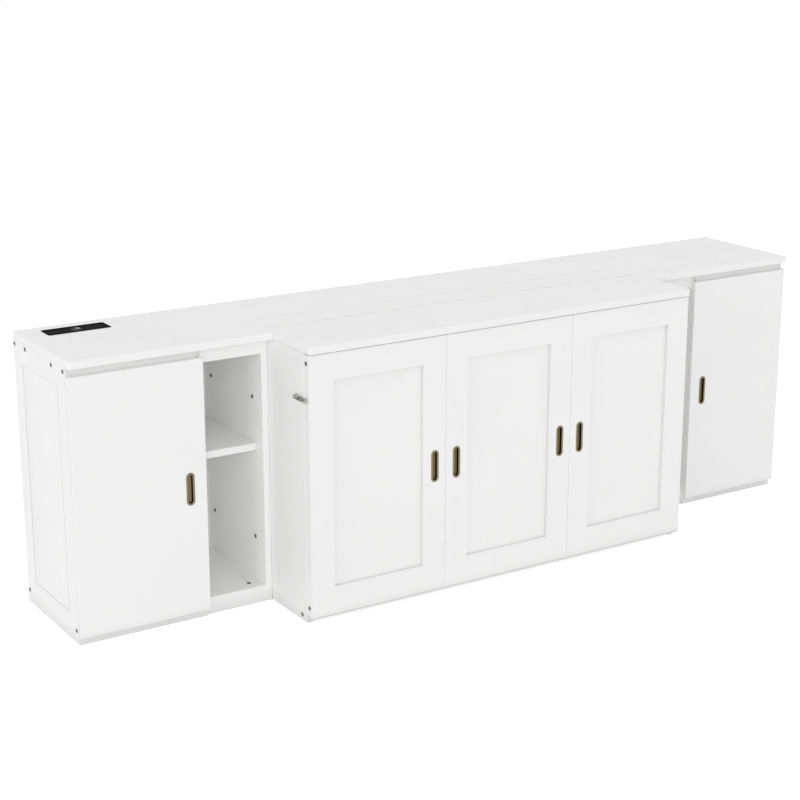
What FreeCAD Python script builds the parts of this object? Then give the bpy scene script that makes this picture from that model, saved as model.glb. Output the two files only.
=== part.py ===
import FreeCAD, Part
import math
import os

# Wall bed in a long white cabinet: a folding bed chest between two cupboards.
# Millimetres. X runs along the wall, +Y points to the wall, +Z is up.
# Depths are measured forwards from the wall face.

# Overall sizes
LENGTH = 3150.0
HEIGHT = 1000.0
CHEST_WIDTH = 1660.0
CHEST_DEPTH = 714.0
CUPBOARD_DEPTH = 461.0
BOARD = 25.0
TOP_BOARD = 27.0
BACK_BOARD = 9.0
EASED_EDGE = 1.5
CORNER_ROUND = 8.0

# Chest top and its lid
REAR_TOP_DEPTH = 304.0
LID_LINE_DEPTH = 434.0
TOP_SEAM = 2.0
SEAM_EDGE = 0.8
LID_OVERHANG = 9.0
LID_CLEAR = 0.5
APRON_HEIGHT = 80.0
APRON_SETBACK = 1.0
WALL_RAIL_HEIGHT = 93.0
ANCHOR_SPACING = 800.0
ANCHOR_RADIUS = 4.0

# Fold-down front panel
PANEL_THICK = 32.0
PANEL_GAP = 1.0
PANEL_SIDE_INSET = 1.0
PANEL_TOP_GAP = 4.0
FLOOR_GAP = 3.0
BAY_GAP = 1.0
STILE = 95.0
TOP_RAIL = 96.0
BOTTOM_RAIL = 100.5
RECESS = 8.0
PANEL_RECESS = 16.0
INFILL_THICK = 9.0
GROOVE = 7.0
GROOVE_CLEAR = 1.0
GROOVE_SLACK = 0.8

# Bed slats and what carries them
SLAT_THICK = 18.0
SLAT_WIDTH = 70.0
SLAT_EDGE = 2.0
SLAT_END_CLEAR = 5.0
PANEL_SLATS = 9
PANEL_SLAT_START = 20.0
HEAD_SLATS = 7
HEAD_SLAT_START = 11.0
HEAD_SLAT_SETBACK = 6.0
HEAD_SLAT_END_CLEAR = 2.0
FLOOR_RAIL_DEPTH = 30.0
FLOOR_RAIL_SETBACK = 18.0
BEARER_WIDTH = 30.0

# Foot section
FOOT_LENGTH = 400.0
FOOT_SIDE_CLEAR = 25.0
FOOT_SLATS = 4
FOOT_GAP = 2.0
FOOT_AXIS_DROP = 10.0
FOOT_SLAT_START = 5.0
FOOT_BEARER_START = 14.0
FOOT_BEARER_WIDTH = 40.0
FOOT_BEARER_INSET = 78.0
PAD_RADIUS = 15.0
PAD_CLEAR = 2.0
PAD_START = 48.0
PAD_END_INSET = 32.0

# Pivot hinges under the front panel
PIVOT_KNUCKLE = 6.0
PIVOT_PIN = 3.5
PIVOT_LEAF = 2.0
PIVOT_LEAF_INSET = 2.0
PIVOT_WIDTH = 80.0
PIVOT_ARM = 8.0
PIVOT_ARM_RISE = 0.5
PIVOT_WEB_INSET = 1.0
PIVOT_PLATE = 3.0
PIVOT_PLATE_LOW = 6.0
PIVOT_PLATE_DROP = 2.0
PIVOT_CLEAR = 0.5
PIVOT_END_INSET = 133.0
PIVOT_INNER_X = 249.0

# Long hinge of the lid
LID_KNUCKLE = 1.5
LID_KNUCKLE_CLEAR = 0.8
LID_PIN = 0.8
LID_LEAF = 1.0
LID_LEAF_RISE = 2.0
LID_LEAF_CLEAR = 0.5
LID_AXIS_RISE = 0.4
LID_KNUCKLE_COUNT = 33
LID_HINGE_INSET = 5.0

# Hinges of the foot section
FOOT_KNUCKLE = 3.0
FOOT_PIN = 1.5
FOOT_LEAF = 0.9
FOOT_LEAF_LENGTH = 32.0
FOOT_LEAF_CLEAR = 0.5
FOOT_KNUCKLE_CLEAR = 1.0
FOOT_HINGE_WIDTH = 60.0
FOOT_HINGE_INSET = 117.0
FOOT_HINGE_INNER_X = 273.0
PIN_CLEAR = 0.05
KNUCKLE_GAP = 0.4

# Cupboards
TOP_OVERHANG = 10.0
FRAME_REAR_STILE = 78.0
FRAME_FRONT_STILE = 76.5
END_CLEAR = 1.5
UNIT_SEAM = 0.6
FRAME_TOP_RAIL = 78.0
FRAME_BOTTOM_RAIL = 96.0
PLINTH = 62.0
HEAD_RAIL = 53.0
BACK_SETBACK = 8.0
STRETCHER_WIDTH = 60.0
STRETCHER_REAR_DEPTH = 112.0
STRETCHER_FRONT_INSET = 113.0
CLEAT_DEPTH = 35.0
SHELF_Z = 556.0
SHELF_SETBACK = 55.0
SHELF_CLEAR = 1.0
SHELF_PIN_RADIUS = 3.0
SHELF_PIN_DEPTH = 7.0
SHELF_PIN_REACH = 9.0
SHELF_PIN_REAR_DEPTH = 40.0
SHELF_PIN_SETBACK = 6.0

# Hinged doors
NICHE_OPENING = 236.0
DOOR_THICK = 19.0
DOOR_GAP = 10.0
DOOR_BOTTOM = 30.0
DOOR_TOP_GAP = 29.0
DOOR_PULL_INSET = 62.0
DOOR_PULL_Z = 488.0
DOOR_PIN = 1.8
DOOR_PIN_INSET = 6.0
DOOR_PIN_LENGTH = 10.0
DOOR_PIN_ROOM = 0.5
DOOR_BORE_CLEAR = 0.4
DOOR_LEAF = 2.0
DOOR_LEAF_LENGTH = 38.0
DOOR_LEAF_WIDTH = 13.0
DOOR_LEAF_INSET = 2.0
DOOR_ARM_CLEAR = 0.5
DOOR_ARM_WIDTH = 12.0
DOOR_ARM_INSET = 2.0
DOOR_ARM_REACH = 30.0

# Flush pulls
PULL_LENGTH = 119.0
PULL_WIDTH = 32.0
PULL_RIM = 7.0
PULL_PROUD = 1.0
PULL_CUP = 11.0
PULL_WALL = 1.2
PULL_CLEAR = 0.3
PULL_OFFSET = 46.0
PULL_Z = 496.0

# Bolts
BOLT_HEAD = 7.5
BOLT_HEAD_HEIGHT = 3.0
BOLT_HEAD_ROUND = 1.8
BOLT_SHANK = 3.0
BOLT_HOLE_CLEAR = 0.1
BOLT_HOLE_EXTRA = 1.0
BOLT_KEY = 3.0
BOLT_KEY_FLOOR = 1.0
END_BOLT_DROP = 16.0
END_BOLT_REAR_DEPTH = 13.0
END_BOLT_FRONT_INSET = 12.0
END_BOLT_LOW_Z = 47.0
END_BOLT_LOW_REAR_DEPTH = 15.0
END_BOLT_GRIP = 30.0
NICHE_BOLT_REAR_DEPTH = 63.0
NICHE_BOLT_FRONT_INSET = 74.0
NICHE_BOLT_DROP = 225.0
NICHE_BOLT_LOW_Z = 225.0
NICHE_BOLT_SHORT = 6.0
CHEST_BOLT_INSET = 15.0
CHEST_BOLT_Z = 21.0
CHEST_BOLT_GRIP = 35.0
FLOOR_BOLT_INSET = 46.0
FLOOR_BOLT_FRONT_INSET = 46.0
FLOOR_BOLT_GRIP = 18.0
HEAD_BOLT_RISE = 1.0
HEAD_BOLT_GRIP = 20.0
EDGE_BOLT_DROP = 28.0
EDGE_BOLT_RISE = 33.5
EDGE_BOLT_GRIP = 40.0

# Side latches
LATCH_DROP = 161.0
LATCH_INSET = 49.0
LATCH_ROSE = 9.5
LATCH_ROSE_THICK = 2.5
LATCH_POST = 3.5
LATCH_PLATE = 4.0
LATCH_STANDOFF = 3.2
LATCH_PLATE_CLEAR = 0.7
LATCH_BODY_HALF = 8.5
LATCH_BODY_LENGTH = 40.5
LATCH_NECK_HALF = 3.5
LATCH_HEAD = 10.0
LATCH_STUD = 3.2
LATCH_STUD_CLEAR = 0.8
LATCH_STUD_BASE = 6.0
LATCH_STUD_CAP = 5.0
LATCH_STUD_CAP_THICK = 3.0
LATCH_KNOB = 6.0
LATCH_KNOB_THICK = 4.0
LATCH_HOLE = 4.0
LATCH_HOLE_OFFSET = 19.0

# Power strip in the left top
POWER_LENGTH = 231.0
POWER_WIDTH = 82.0
POWER_END_INSET = 78.5
POWER_REAR_INSET = 56.0
POWER_RIM = 8.0
POWER_RIM_EDGE = 0.6
POWER_CORNER = 8.0
POWER_FACE_CORNER = 3.0
POWER_PROUD = 1.5
POWER_DEPTH = 52.0
POWER_SHEET = 3.0
POWER_FIT = 0.5
POWER_BASE_CLEAR = 1.0
GLAND_RADIUS = 7.0
GLAND_LENGTH = 9.0
OUTLET_OFFSET = 62.0
SOCKET_DEPTH = 18.0
BLADE_OFFSET = 6.35
BLADE_HALF = 1.2
BLADE_REAR = 9.0
BLADE_FRONT = 1.0
EARTH_RADIUS = 2.6
EARTH_OFFSET = 8.0
USB_LENGTH = 34.0
USB_WIDTH = 40.0
USB_DEPTH = 20.0
PORT_OFFSET = 9.0
PORT_LENGTH = 13.2
PORT_WIDTH = 5.6
PORT_DEPTH = 12.0

# Positions that follow from the sizes above
UNDER = HEIGHT - TOP_BOARD
PANEL_BACK = CHEST_DEPTH + PANEL_GAP
PANEL_FRONT = PANEL_BACK + PANEL_THICK
LID_FRONT = PANEL_FRONT + LID_OVERHANG
BACK = LID_FRONT / 2
CHEST_OUT = CHEST_WIDTH / 2
CHEST_IN = CHEST_OUT - BOARD
END_OUT = LENGTH / 2
END_IN = END_OUT - BOARD
NICHE_WALL = CHEST_OUT + BOARD
PANEL_X = CHEST_OUT - PANEL_SIDE_INSET
PIVOT_DEPTH = PANEL_BACK + PANEL_THICK / 2
PIVOT_Z = PANEL_THICK / 2 + FLOOR_GAP
PANEL_LOW = PIVOT_Z + PIVOT_KNUCKLE + PIVOT_CLEAR + PIVOT_LEAF
PANEL_HIGH = UNDER - PANEL_TOP_GAP
BEARER_TOP = PIVOT_Z + PANEL_THICK / 2
PLATFORM = BEARER_TOP + SLAT_THICK
SLAT_FACE = PANEL_BACK - SLAT_THICK
FOOT_HALF_WIDTH = CHEST_IN - FOOT_SIDE_CLEAR
FOOT_AXIS_DEPTH = SLAT_FACE - FOOT_GAP / 2
FOOT_AXIS_Z = PANEL_HIGH - FOOT_AXIS_DROP
FOOT_FACE = SLAT_FACE - FOOT_GAP
FLOOR_RAIL_FRONT = CHEST_DEPTH - FLOOR_RAIL_SETBACK
FLOOR_RAIL_BACK = FLOOR_RAIL_FRONT - FLOOR_RAIL_DEPTH
STRETCHER_FRONT_DEPTH = CUPBOARD_DEPTH - STRETCHER_FRONT_INSET
SHELF_DEPTH = CUPBOARD_DEPTH - SHELF_SETBACK
DOOR_BACK = CUPBOARD_DEPTH + DOOR_GAP
DOOR_FRONT = DOOR_BACK + DOOR_THICK
DOOR_MID = (DOOR_BACK + DOOR_FRONT) / 2
DOOR_HIGH = UNDER - DOOR_TOP_GAP
END_DEPTH = DOOR_BACK - END_CLEAR
DOOR_INNER = NICHE_WALL + NICHE_OPENING
PARTITION_OUT = DOOR_INNER + BOARD
DOOR_PIN_X = END_OUT - DOOR_PIN_INSET
DOOR_PIN_DEPTH = DOOR_FRONT - DOOR_PIN_INSET
TOP_DEPTH = DOOR_FRONT + TOP_OVERHANG
BAY_EDGE = PANEL_X / 3
LATCH_Z = UNDER - LATCH_DROP
LATCH_PIVOT_DEPTH = CHEST_DEPTH - LATCH_INSET
POWER_CENTRE_X = POWER_END_INSET + POWER_LENGTH / 2 - END_OUT
POWER_CENTRE_DEPTH = POWER_REAR_INSET + POWER_WIDTH / 2

RIGHT = FreeCAD.Vector(1, 0, 0)
LEFT = FreeCAD.Vector(-1, 0, 0)
FORWARD = FreeCAD.Vector(0, -1, 0)
UP = FreeCAD.Vector(0, 0, 1)

os.makedirs("parts", exist_ok=True)


def point(x, depth, z):
    return FreeCAD.Vector(x, BACK - depth, z)


def block(x0, x1, d0, d1, z0, z1):
    return Part.makeBox(x1 - x0, d1 - d0, z1 - z0, point(x0, d1, z0))


def eased(shape, radius=EASED_EDGE):
    return shape.makeFillet(radius, shape.Edges)


def rounded_corners(shape, radius, corners):
    uprights = []
    for edge in shape.Edges:
        for x, depth in corners:
            spot = point(x, depth, 0)
            if all(abs(end.X - spot.x) + abs(end.Y - spot.y) < EASED_EDGE for end in edge.Vertexes):
                uprights.append(edge)
    return shape.makeFillet(radius, uprights)


def eased_faces(shape, radius=EASED_EDGE):
    level = [edge for edge in shape.Edges if abs(edge.BoundBox.ZLength) < radius]
    return shape.makeFillet(radius, level)


def rod(radius, length, start, direction):
    return Part.makeCylinder(radius, length, start, direction)


def flipped(shape):
    return shape.mirror(FreeCAD.Vector(0, 0, 0), RIGHT)


def both_sides(shapes):
    return list(shapes) + [flipped(shape) for shape in shapes]


def joined(shapes):
    whole = shapes[0].multiFuse(shapes[1:]) if len(shapes) > 1 else shapes[0]
    return whole.removeSplitter()


def cut_all(shape, cutters):
    for cutter in cutters:
        if shape.BoundBox.intersect(cutter.BoundBox):
            shape = shape.cut(cutter)
    return shape


def save(name, shapes):
    solids = []
    for shape in shapes:
        solids.extend(shape.Solids)
    Part.makeCompound(solids).exportStep("parts/" + name + ".step")


# Fasteners: a domed head with a hexagon key hole, on a plain shank


def bolt(start, outward, length):
    head = rod(BOLT_HEAD, BOLT_HEAD_HEIGHT, start, outward)
    rim = [edge for edge in head.Edges
           if edge.Curve.TypeId == "Part::GeomCircle"
           and (edge.Curve.Center - start).dot(outward) > BOLT_HEAD_HEIGHT / 2]
    head = head.makeFillet(BOLT_HEAD_ROUND, rim)
    turn = FreeCAD.Rotation(UP, outward)
    corners = []
    for step in range(7):
        angle = math.radians(60 * step)
        corner = FreeCAD.Vector(BOLT_KEY * math.cos(angle), BOLT_KEY * math.sin(angle), 0)
        corners.append(start + outward * BOLT_KEY_FLOOR + turn.multVec(corner))
    key = Part.Face(Part.makePolygon(corners)).extrude(outward * BOLT_HEAD_HEIGHT)
    return head.cut(key).fuse(rod(BOLT_SHANK, length, start, outward * -1)).removeSplitter()


def bolt_hole(start, outward, length):
    return rod(BOLT_SHANK + BOLT_HOLE_CLEAR, length + BOLT_HOLE_EXTRA, start, outward * -1)


end_bolt_z = UNDER - END_BOLT_DROP
end_bolt_front = CUPBOARD_DEPTH - END_BOLT_FRONT_INSET
end_bolts = [
    (END_BOLT_REAR_DEPTH, end_bolt_z),
    (STRETCHER_REAR_DEPTH, end_bolt_z),
    (STRETCHER_FRONT_DEPTH, end_bolt_z),
    (end_bolt_front, end_bolt_z),
    (END_BOLT_LOW_REAR_DEPTH, END_BOLT_LOW_Z),
    (end_bolt_front, END_BOLT_LOW_Z),
]
niche_bolts = [(depth, z) for z in (UNDER - NICHE_BOLT_DROP, NICHE_BOLT_LOW_Z)
               for depth in (NICHE_BOLT_REAR_DEPTH, CUPBOARD_DEPTH - NICHE_BOLT_FRONT_INSET)]
edge_bolt_levels = [PANEL_HIGH - EDGE_BOLT_DROP, PANEL_LOW + EDGE_BOLT_RISE]

cabinet_fixings = []
for depth, z in end_bolts:
    cabinet_fixings.append((point(END_OUT, depth, z), RIGHT, BOARD + END_BOLT_GRIP))
for depth, z in niche_bolts:
    cabinet_fixings.append((point(NICHE_WALL, depth, z), RIGHT, 2 * BOARD - NICHE_BOLT_SHORT))
chest_bolt = point(CHEST_OUT, FLOOR_RAIL_FRONT - CHEST_BOLT_INSET, CHEST_BOLT_Z)
cabinet_fixings.append((chest_bolt, RIGHT, BOARD + CHEST_BOLT_GRIP))
for x in (NICHE_WALL + FLOOR_BOLT_INSET, END_IN - FLOOR_BOLT_INSET):
    floor_bolt = point(x, CUPBOARD_DEPTH - FLOOR_BOLT_FRONT_INSET, PLINTH)
    cabinet_fixings.append((floor_bolt, UP, BOARD + FLOOR_BOLT_GRIP))
head_bolt = point(DOOR_INNER + BOARD / 2, END_DEPTH, DOOR_HIGH + BOLT_HEAD + HEAD_BOLT_RISE)
cabinet_fixings.append((head_bolt, FORWARD, END_DEPTH - CUPBOARD_DEPTH + BOARD + HEAD_BOLT_GRIP))
cabinet_holes = [bolt_hole(*fixing) for fixing in cabinet_fixings]
save("carcass_bolts", both_sides([bolt(*fixing) for fixing in cabinet_fixings]))

edge_fixings = [(point(PANEL_X, PIVOT_DEPTH, z), RIGHT, STILE + EDGE_BOLT_GRIP) for z in edge_bolt_levels]
edge_holes = both_sides([bolt_hole(*fixing) for fixing in edge_fixings])
save("front_edge_bolts", both_sides([bolt(*fixing) for fixing in edge_fixings]))


# Flush pulls: a stadium-shaped rim on a stadium-shaped cup


def stadium(x, z, d0, d1, length, width):
    radius = width / 2
    half = length / 2 - radius
    bar = block(x - radius, x + radius, d0, d1, z - half, z + half)
    ends = [rod(radius, d1 - d0, point(x, d0, z + end), FORWARD) for end in (-half, half)]
    return joined([bar] + ends)


def pull(x, z, face):
    slim = 2 * PULL_RIM
    outer = stadium(x, z, face, face + PULL_PROUD, PULL_LENGTH, PULL_WIDTH)
    cup = stadium(x, z, face - PULL_CUP - PULL_WALL, face,
                  PULL_LENGTH - slim + 2 * PULL_WALL, PULL_WIDTH - slim + 2 * PULL_WALL)
    hollow = stadium(x, z, face - PULL_CUP, face + PULL_PROUD, PULL_LENGTH - slim, PULL_WIDTH - slim)
    return joined([outer, cup]).cut(hollow)


def pull_pocket(x, z, face):
    grow = 2 * (PULL_WALL + PULL_CLEAR) - 2 * PULL_RIM
    return stadium(x, z, face - PULL_CUP - PULL_WALL, face, PULL_LENGTH + grow, PULL_WIDTH + grow)


# Hinges along X: a row of knuckles round one pin


def knuckles(x0, x1, count, odd, depth, z, radius):
    pitch = (x1 - x0) / count
    rings = []
    for index in range(odd, count, 2):
        low = x0 + index * pitch + KNUCKLE_GAP / 2
        high = low + pitch - KNUCKLE_GAP
        rings.append((low, high, rod(radius, high - low, point(low, depth, z), RIGHT)))
    return rings


# Cupboards, built on the right and mirrored to the left

shelf_spans = [(NICHE_WALL, DOOR_INNER), (PARTITION_OUT, END_IN)]
shelf_walls = [wall for low, high in shelf_spans for wall in ((low, RIGHT), (high, LEFT))]
shelf_holes = []
shelf_pins = []
for depth in (SHELF_PIN_REAR_DEPTH, SHELF_DEPTH - SHELF_PIN_SETBACK):
    for wall, outward in shelf_walls:
        start = point(wall, depth, SHELF_Z - SHELF_PIN_RADIUS) - outward * SHELF_PIN_DEPTH
        shelf_pins.append(rod(SHELF_PIN_RADIUS, SHELF_PIN_DEPTH + SHELF_PIN_REACH, start, outward))
        shelf_holes.append(rod(SHELF_PIN_RADIUS, SHELF_PIN_DEPTH, start, outward))
save("shelf_pins", both_sides(shelf_pins))

arm_levels = [(DOOR_HIGH + DOOR_ARM_CLEAR, UP * -1), (DOOR_BOTTOM - DOOR_ARM_CLEAR - DOOR_LEAF, UP)]
arm_x1 = END_OUT - DOOR_ARM_INSET
door_arms = [block(arm_x1 - DOOR_ARM_WIDTH, arm_x1, END_DEPTH - DOOR_ARM_REACH, DOOR_FRONT - DOOR_ARM_INSET,
                   low, low + DOOR_LEAF) for low, way in arm_levels]

frame_low = FRAME_BOTTOM_RAIL
frame_high = UNDER - FRAME_TOP_RAIL
frame_rear = FRAME_REAR_STILE
frame_front = END_DEPTH - FRAME_FRONT_STILE
infill_x1 = END_OUT - RECESS
infill_x0 = infill_x1 - INFILL_THICK
groove_reach = GROOVE + GROOVE_CLEAR
end_groove = block(infill_x0, infill_x1 + GROOVE_SLACK, frame_rear - groove_reach, frame_front + groove_reach,
                   frame_low - groove_reach, frame_high + groove_reach)
end_boards = [
    block(END_IN, END_OUT, 0, frame_rear, 0, UNDER),
    block(END_IN, END_OUT, frame_front, END_DEPTH, 0, UNDER),
    block(END_IN, END_OUT, frame_rear, frame_front, 0, frame_low),
    block(END_IN, END_OUT, frame_rear, frame_front, frame_high, UNDER),
]
end_cuts = [end_groove] + cabinet_holes + shelf_holes + door_arms
end_frame = [cut_all(board, end_cuts) for board in end_boards]
end_panel = block(infill_x0, infill_x1, frame_rear - GROOVE, frame_front + GROOVE,
                  frame_low - GROOVE, frame_high + GROOVE)
inner_side = block(CHEST_OUT + UNIT_SEAM, NICHE_WALL, 0, CUPBOARD_DEPTH, 0, UNDER)
inner_side = cut_all(inner_side, cabinet_holes + shelf_holes)
rail_front = CUPBOARD_DEPTH - BOARD
floor_board = block(NICHE_WALL, END_IN, BOARD, rail_front, PLINTH - BOARD, PLINTH)
rail_boards = [
    block(NICHE_WALL, END_IN, rail_front, CUPBOARD_DEPTH, 0, PLINTH),
    block(NICHE_WALL, END_IN, rail_front, CUPBOARD_DEPTH, UNDER - HEAD_RAIL, UNDER),
    block(NICHE_WALL, END_IN, 0, BOARD, 0, PLINTH),
    block(NICHE_WALL, END_IN, 0, BOARD, UNDER - HEAD_RAIL, UNDER),
    block(NICHE_WALL, END_IN, rail_front - CLEAT_DEPTH, rail_front, PLINTH - 2 * BOARD, PLINTH - BOARD),
    block(DOOR_INNER, END_IN, CUPBOARD_DEPTH, END_DEPTH, 0, PLINTH),
    block(DOOR_INNER, END_IN, CUPBOARD_DEPTH, END_DEPTH, UNDER - HEAD_RAIL, UNDER),
]
for depth in (STRETCHER_REAR_DEPTH, STRETCHER_FRONT_DEPTH):
    half = STRETCHER_WIDTH / 2
    rail_boards.append(block(NICHE_WALL, END_IN, depth - half, depth + half, UNDER - BOARD, UNDER))
rails = [cut_all(board, cabinet_holes) for board in rail_boards]
back_panel = block(NICHE_WALL, END_IN, BACK_SETBACK, BACK_SETBACK + BACK_BOARD, PLINTH, UNDER - HEAD_RAIL)
back_face = BACK_SETBACK + BACK_BOARD
partition = joined([
    block(DOOR_INNER, PARTITION_OUT, back_face, END_DEPTH, PLINTH, UNDER - HEAD_RAIL),
    block(DOOR_INNER, PARTITION_OUT, BOARD, rail_front, UNDER - HEAD_RAIL, UNDER),
])
partition = cut_all(partition, rail_boards + shelf_holes + cabinet_holes)
shelf_boards = [block(low + SHELF_CLEAR, high - SHELF_CLEAR, back_face + SHELF_CLEAR, SHELF_DEPTH,
                      SHELF_Z, SHELF_Z + BOARD) for low, high in shelf_spans]

top = rounded_corners(block(CHEST_OUT, END_OUT, 0, TOP_DEPTH, UNDER, HEIGHT), CORNER_ROUND,
                      [(END_OUT, TOP_DEPTH)])
top = eased_faces(top)

power_x0 = POWER_CENTRE_X - POWER_LENGTH / 2
power_x1 = POWER_CENTRE_X + POWER_LENGTH / 2
power_d0 = POWER_CENTRE_DEPTH - POWER_WIDTH / 2
power_d1 = POWER_CENTRE_DEPTH + POWER_WIDTH / 2


def power_block(inset, low, high):
    return block(power_x0 + inset, power_x1 - inset, power_d0 + inset, power_d1 - inset, low, high)


def power_plate(inset, low, high, corner):
    corners = [(x, depth) for x in (power_x0 + inset, power_x1 - inset)
               for depth in (power_d0 + inset, power_d1 - inset)]
    return rounded_corners(power_block(inset, low, high), corner, corners)


power_well = power_block(POWER_RIM, HEIGHT - POWER_DEPTH, HEIGHT)

for side, turned in (("right", lambda shape: shape), ("left", flipped)):
    save(side + "_end_frame", [turned(board) for board in end_frame])
    save(side + "_end_panel", [turned(end_panel)])
    save(side + "_inner_side", [turned(inner_side)])
    save(side + "_partition", [turned(partition)])
    save(side + "_floor_board", [turned(cut_all(floor_board, cabinet_holes))])
    save(side + "_rails", [cut_all(turned(board), [power_well]) for board in rails])
    save(side + "_back", [turned(back_panel)])
    save(side + "_top", [turned(top).cut(power_well)])
save("shelves", both_sides(shelf_boards))

# Hinged doors with flush pulls, each on two pivot hinges let into its top and bottom edges

door_pull_x = DOOR_INNER + DOOR_PULL_INSET
door = eased(block(DOOR_INNER, END_OUT, DOOR_BACK, DOOR_FRONT, DOOR_BOTTOM, DOOR_HIGH))
door = door.cut(pull_pocket(door_pull_x, DOOR_PULL_Z, DOOR_FRONT))
door_pull = pull(door_pull_x, DOOR_PULL_Z, DOOR_FRONT)
leaf_x1 = END_OUT - DOOR_LEAF_INSET
leaf_half = DOOR_LEAF_WIDTH / 2
pivot_arms = []
door_leaves = []
for arm, (low, way) in zip(door_arms, arm_levels):
    edge_z = DOOR_HIGH if way.z < 0 else DOOR_BOTTOM
    edge = point(DOOR_PIN_X, DOOR_PIN_DEPTH, edge_z)
    leaf_low = min(edge_z, edge_z + way.z * DOOR_LEAF)
    leaf = block(leaf_x1 - DOOR_LEAF_LENGTH, leaf_x1, DOOR_MID - leaf_half, DOOR_MID + leaf_half,
                 leaf_low, leaf_low + DOOR_LEAF)
    pin_start = edge - way * (DOOR_ARM_CLEAR + DOOR_LEAF)
    pin = rod(DOOR_PIN, DOOR_PIN_LENGTH + DOOR_ARM_CLEAR + DOOR_LEAF, pin_start, way)
    pivot_arms.append(joined([arm, pin]))
    door = door.cut(leaf)
    door = door.cut(rod(DOOR_PIN + DOOR_BORE_CLEAR, DOOR_PIN_LENGTH + DOOR_PIN_ROOM, edge, way))
    door_leaves.append(leaf.cut(rod(DOOR_PIN + PIN_CLEAR, DOOR_LEAF, edge, way)))
save("door_pivot_arms", both_sides(pivot_arms))
for side, turned in (("right", lambda shape: shape), ("left", flipped)):
    save(side + "_door", [turned(door)])
    save(side + "_door_pull", [turned(door_pull)])
    save(side + "_door_leaves", [turned(shape) for shape in door_leaves])

# Power strip: housing with a rim, socket face and a module of charging ports

power_floor = HEIGHT - POWER_DEPTH + POWER_BASE_CLEAR
face_low = power_floor + POWER_SHEET
rim = eased_faces(power_plate(0, HEIGHT, HEIGHT + POWER_PROUD, POWER_CORNER), POWER_RIM_EDGE)
shell = power_block(POWER_RIM + POWER_FIT, power_floor, HEIGHT)
tray = power_plate(POWER_RIM + POWER_SHEET, face_low, HEIGHT + POWER_PROUD, POWER_FACE_CORNER)
gland = rod(GLAND_RADIUS, GLAND_LENGTH, point(POWER_CENTRE_X, POWER_CENTRE_DEPTH, power_floor), UP * -1)
save("power_housing", [joined([rim, shell, gland]).cut(tray)])

face = power_plate(POWER_RIM + POWER_SHEET, face_low, HEIGHT, POWER_FACE_CORNER)
usb_well = block(POWER_CENTRE_X - USB_LENGTH / 2, POWER_CENTRE_X + USB_LENGTH / 2,
                 POWER_CENTRE_DEPTH - USB_WIDTH / 2, POWER_CENTRE_DEPTH + USB_WIDTH / 2,
                 HEIGHT - USB_DEPTH, HEIGHT)
face = face.cut(usb_well)
for outlet in (-OUTLET_OFFSET, OUTLET_OFFSET):
    x = POWER_CENTRE_X + outlet
    socket_low = HEIGHT - SOCKET_DEPTH
    for blade in (-BLADE_OFFSET, BLADE_OFFSET):
        face = face.cut(block(x + blade - BLADE_HALF, x + blade + BLADE_HALF, POWER_CENTRE_DEPTH - BLADE_REAR,
                              POWER_CENTRE_DEPTH - BLADE_FRONT, socket_low, HEIGHT))
    earth = point(x, POWER_CENTRE_DEPTH + EARTH_OFFSET, socket_low)
    face = face.cut(rod(EARTH_RADIUS, SOCKET_DEPTH, earth, UP))
save("power_face", [face])

ports = usb_well.copy()
for port in (-PORT_OFFSET, PORT_OFFSET):
    depth = POWER_CENTRE_DEPTH + port
    ports = ports.cut(block(POWER_CENTRE_X - PORT_LENGTH / 2, POWER_CENTRE_X + PORT_LENGTH / 2,
                            depth - PORT_WIDTH / 2, depth + PORT_WIDTH / 2, HEIGHT - PORT_DEPTH, HEIGHT))
save("power_ports", [ports])

# Bed chest: sides, back, fixed tops and rails

chest_side = cut_all(block(CHEST_IN, CHEST_OUT, 0, CHEST_DEPTH, 0, UNDER), cabinet_holes)
save("chest_sides", both_sides([chest_side]))
anchors = [rod(ANCHOR_RADIUS, BACK_BOARD + BOARD, point(x, 0, UNDER - WALL_RAIL_HEIGHT / 2), FORWARD)
           for x in (-ANCHOR_SPACING / 2, ANCHOR_SPACING / 2)]
save("chest_back", [cut_all(block(-CHEST_IN, CHEST_IN, 0, BACK_BOARD, 0, UNDER), anchors)])
wall_rail = block(-CHEST_IN, CHEST_IN, BACK_BOARD, BACK_BOARD + BOARD, UNDER - WALL_RAIL_HEIGHT, UNDER)
save("wall_rail", [cut_all(wall_rail, anchors)])
lid_gap = LID_KNUCKLE + LID_KNUCKLE_CLEAR
lid_rail_front = LID_LINE_DEPTH - lid_gap
lid_back = LID_LINE_DEPTH + lid_gap
rear_top = block(-CHEST_OUT, CHEST_OUT, 0, REAR_TOP_DEPTH - TOP_SEAM / 2, UNDER, HEIGHT)
save("chest_rear_top", [eased(rear_top, SEAM_EDGE)])
lid_rail = block(-CHEST_OUT, CHEST_OUT, REAR_TOP_DEPTH + TOP_SEAM / 2, lid_rail_front, UNDER, HEIGHT)
save("lid_rail", [eased(lid_rail, SEAM_EDGE)])
apron_front = lid_rail_front - APRON_SETBACK
apron = block(-CHEST_IN, CHEST_IN, apron_front - BOARD, apron_front, UNDER - APRON_HEIGHT, UNDER)
save("lid_rail_apron", [apron])
floor_rail = block(-CHEST_IN, CHEST_IN, FLOOR_RAIL_BACK, FLOOR_RAIL_FRONT, 0, BEARER_TOP)
save("floor_rail", [cut_all(floor_rail, both_sides(cabinet_holes))])
bearers = []
for x in (-CHEST_IN, -BEARER_WIDTH / 2, CHEST_IN - BEARER_WIDTH):
    bearers.append(block(x, x + BEARER_WIDTH, BACK_BOARD, FLOOR_RAIL_BACK, 0, BEARER_TOP))
save("head_bearers", bearers)
head_first = BACK_BOARD + HEAD_SLAT_START
head_last = FLOOR_RAIL_FRONT - HEAD_SLAT_SETBACK - SLAT_WIDTH
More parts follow.
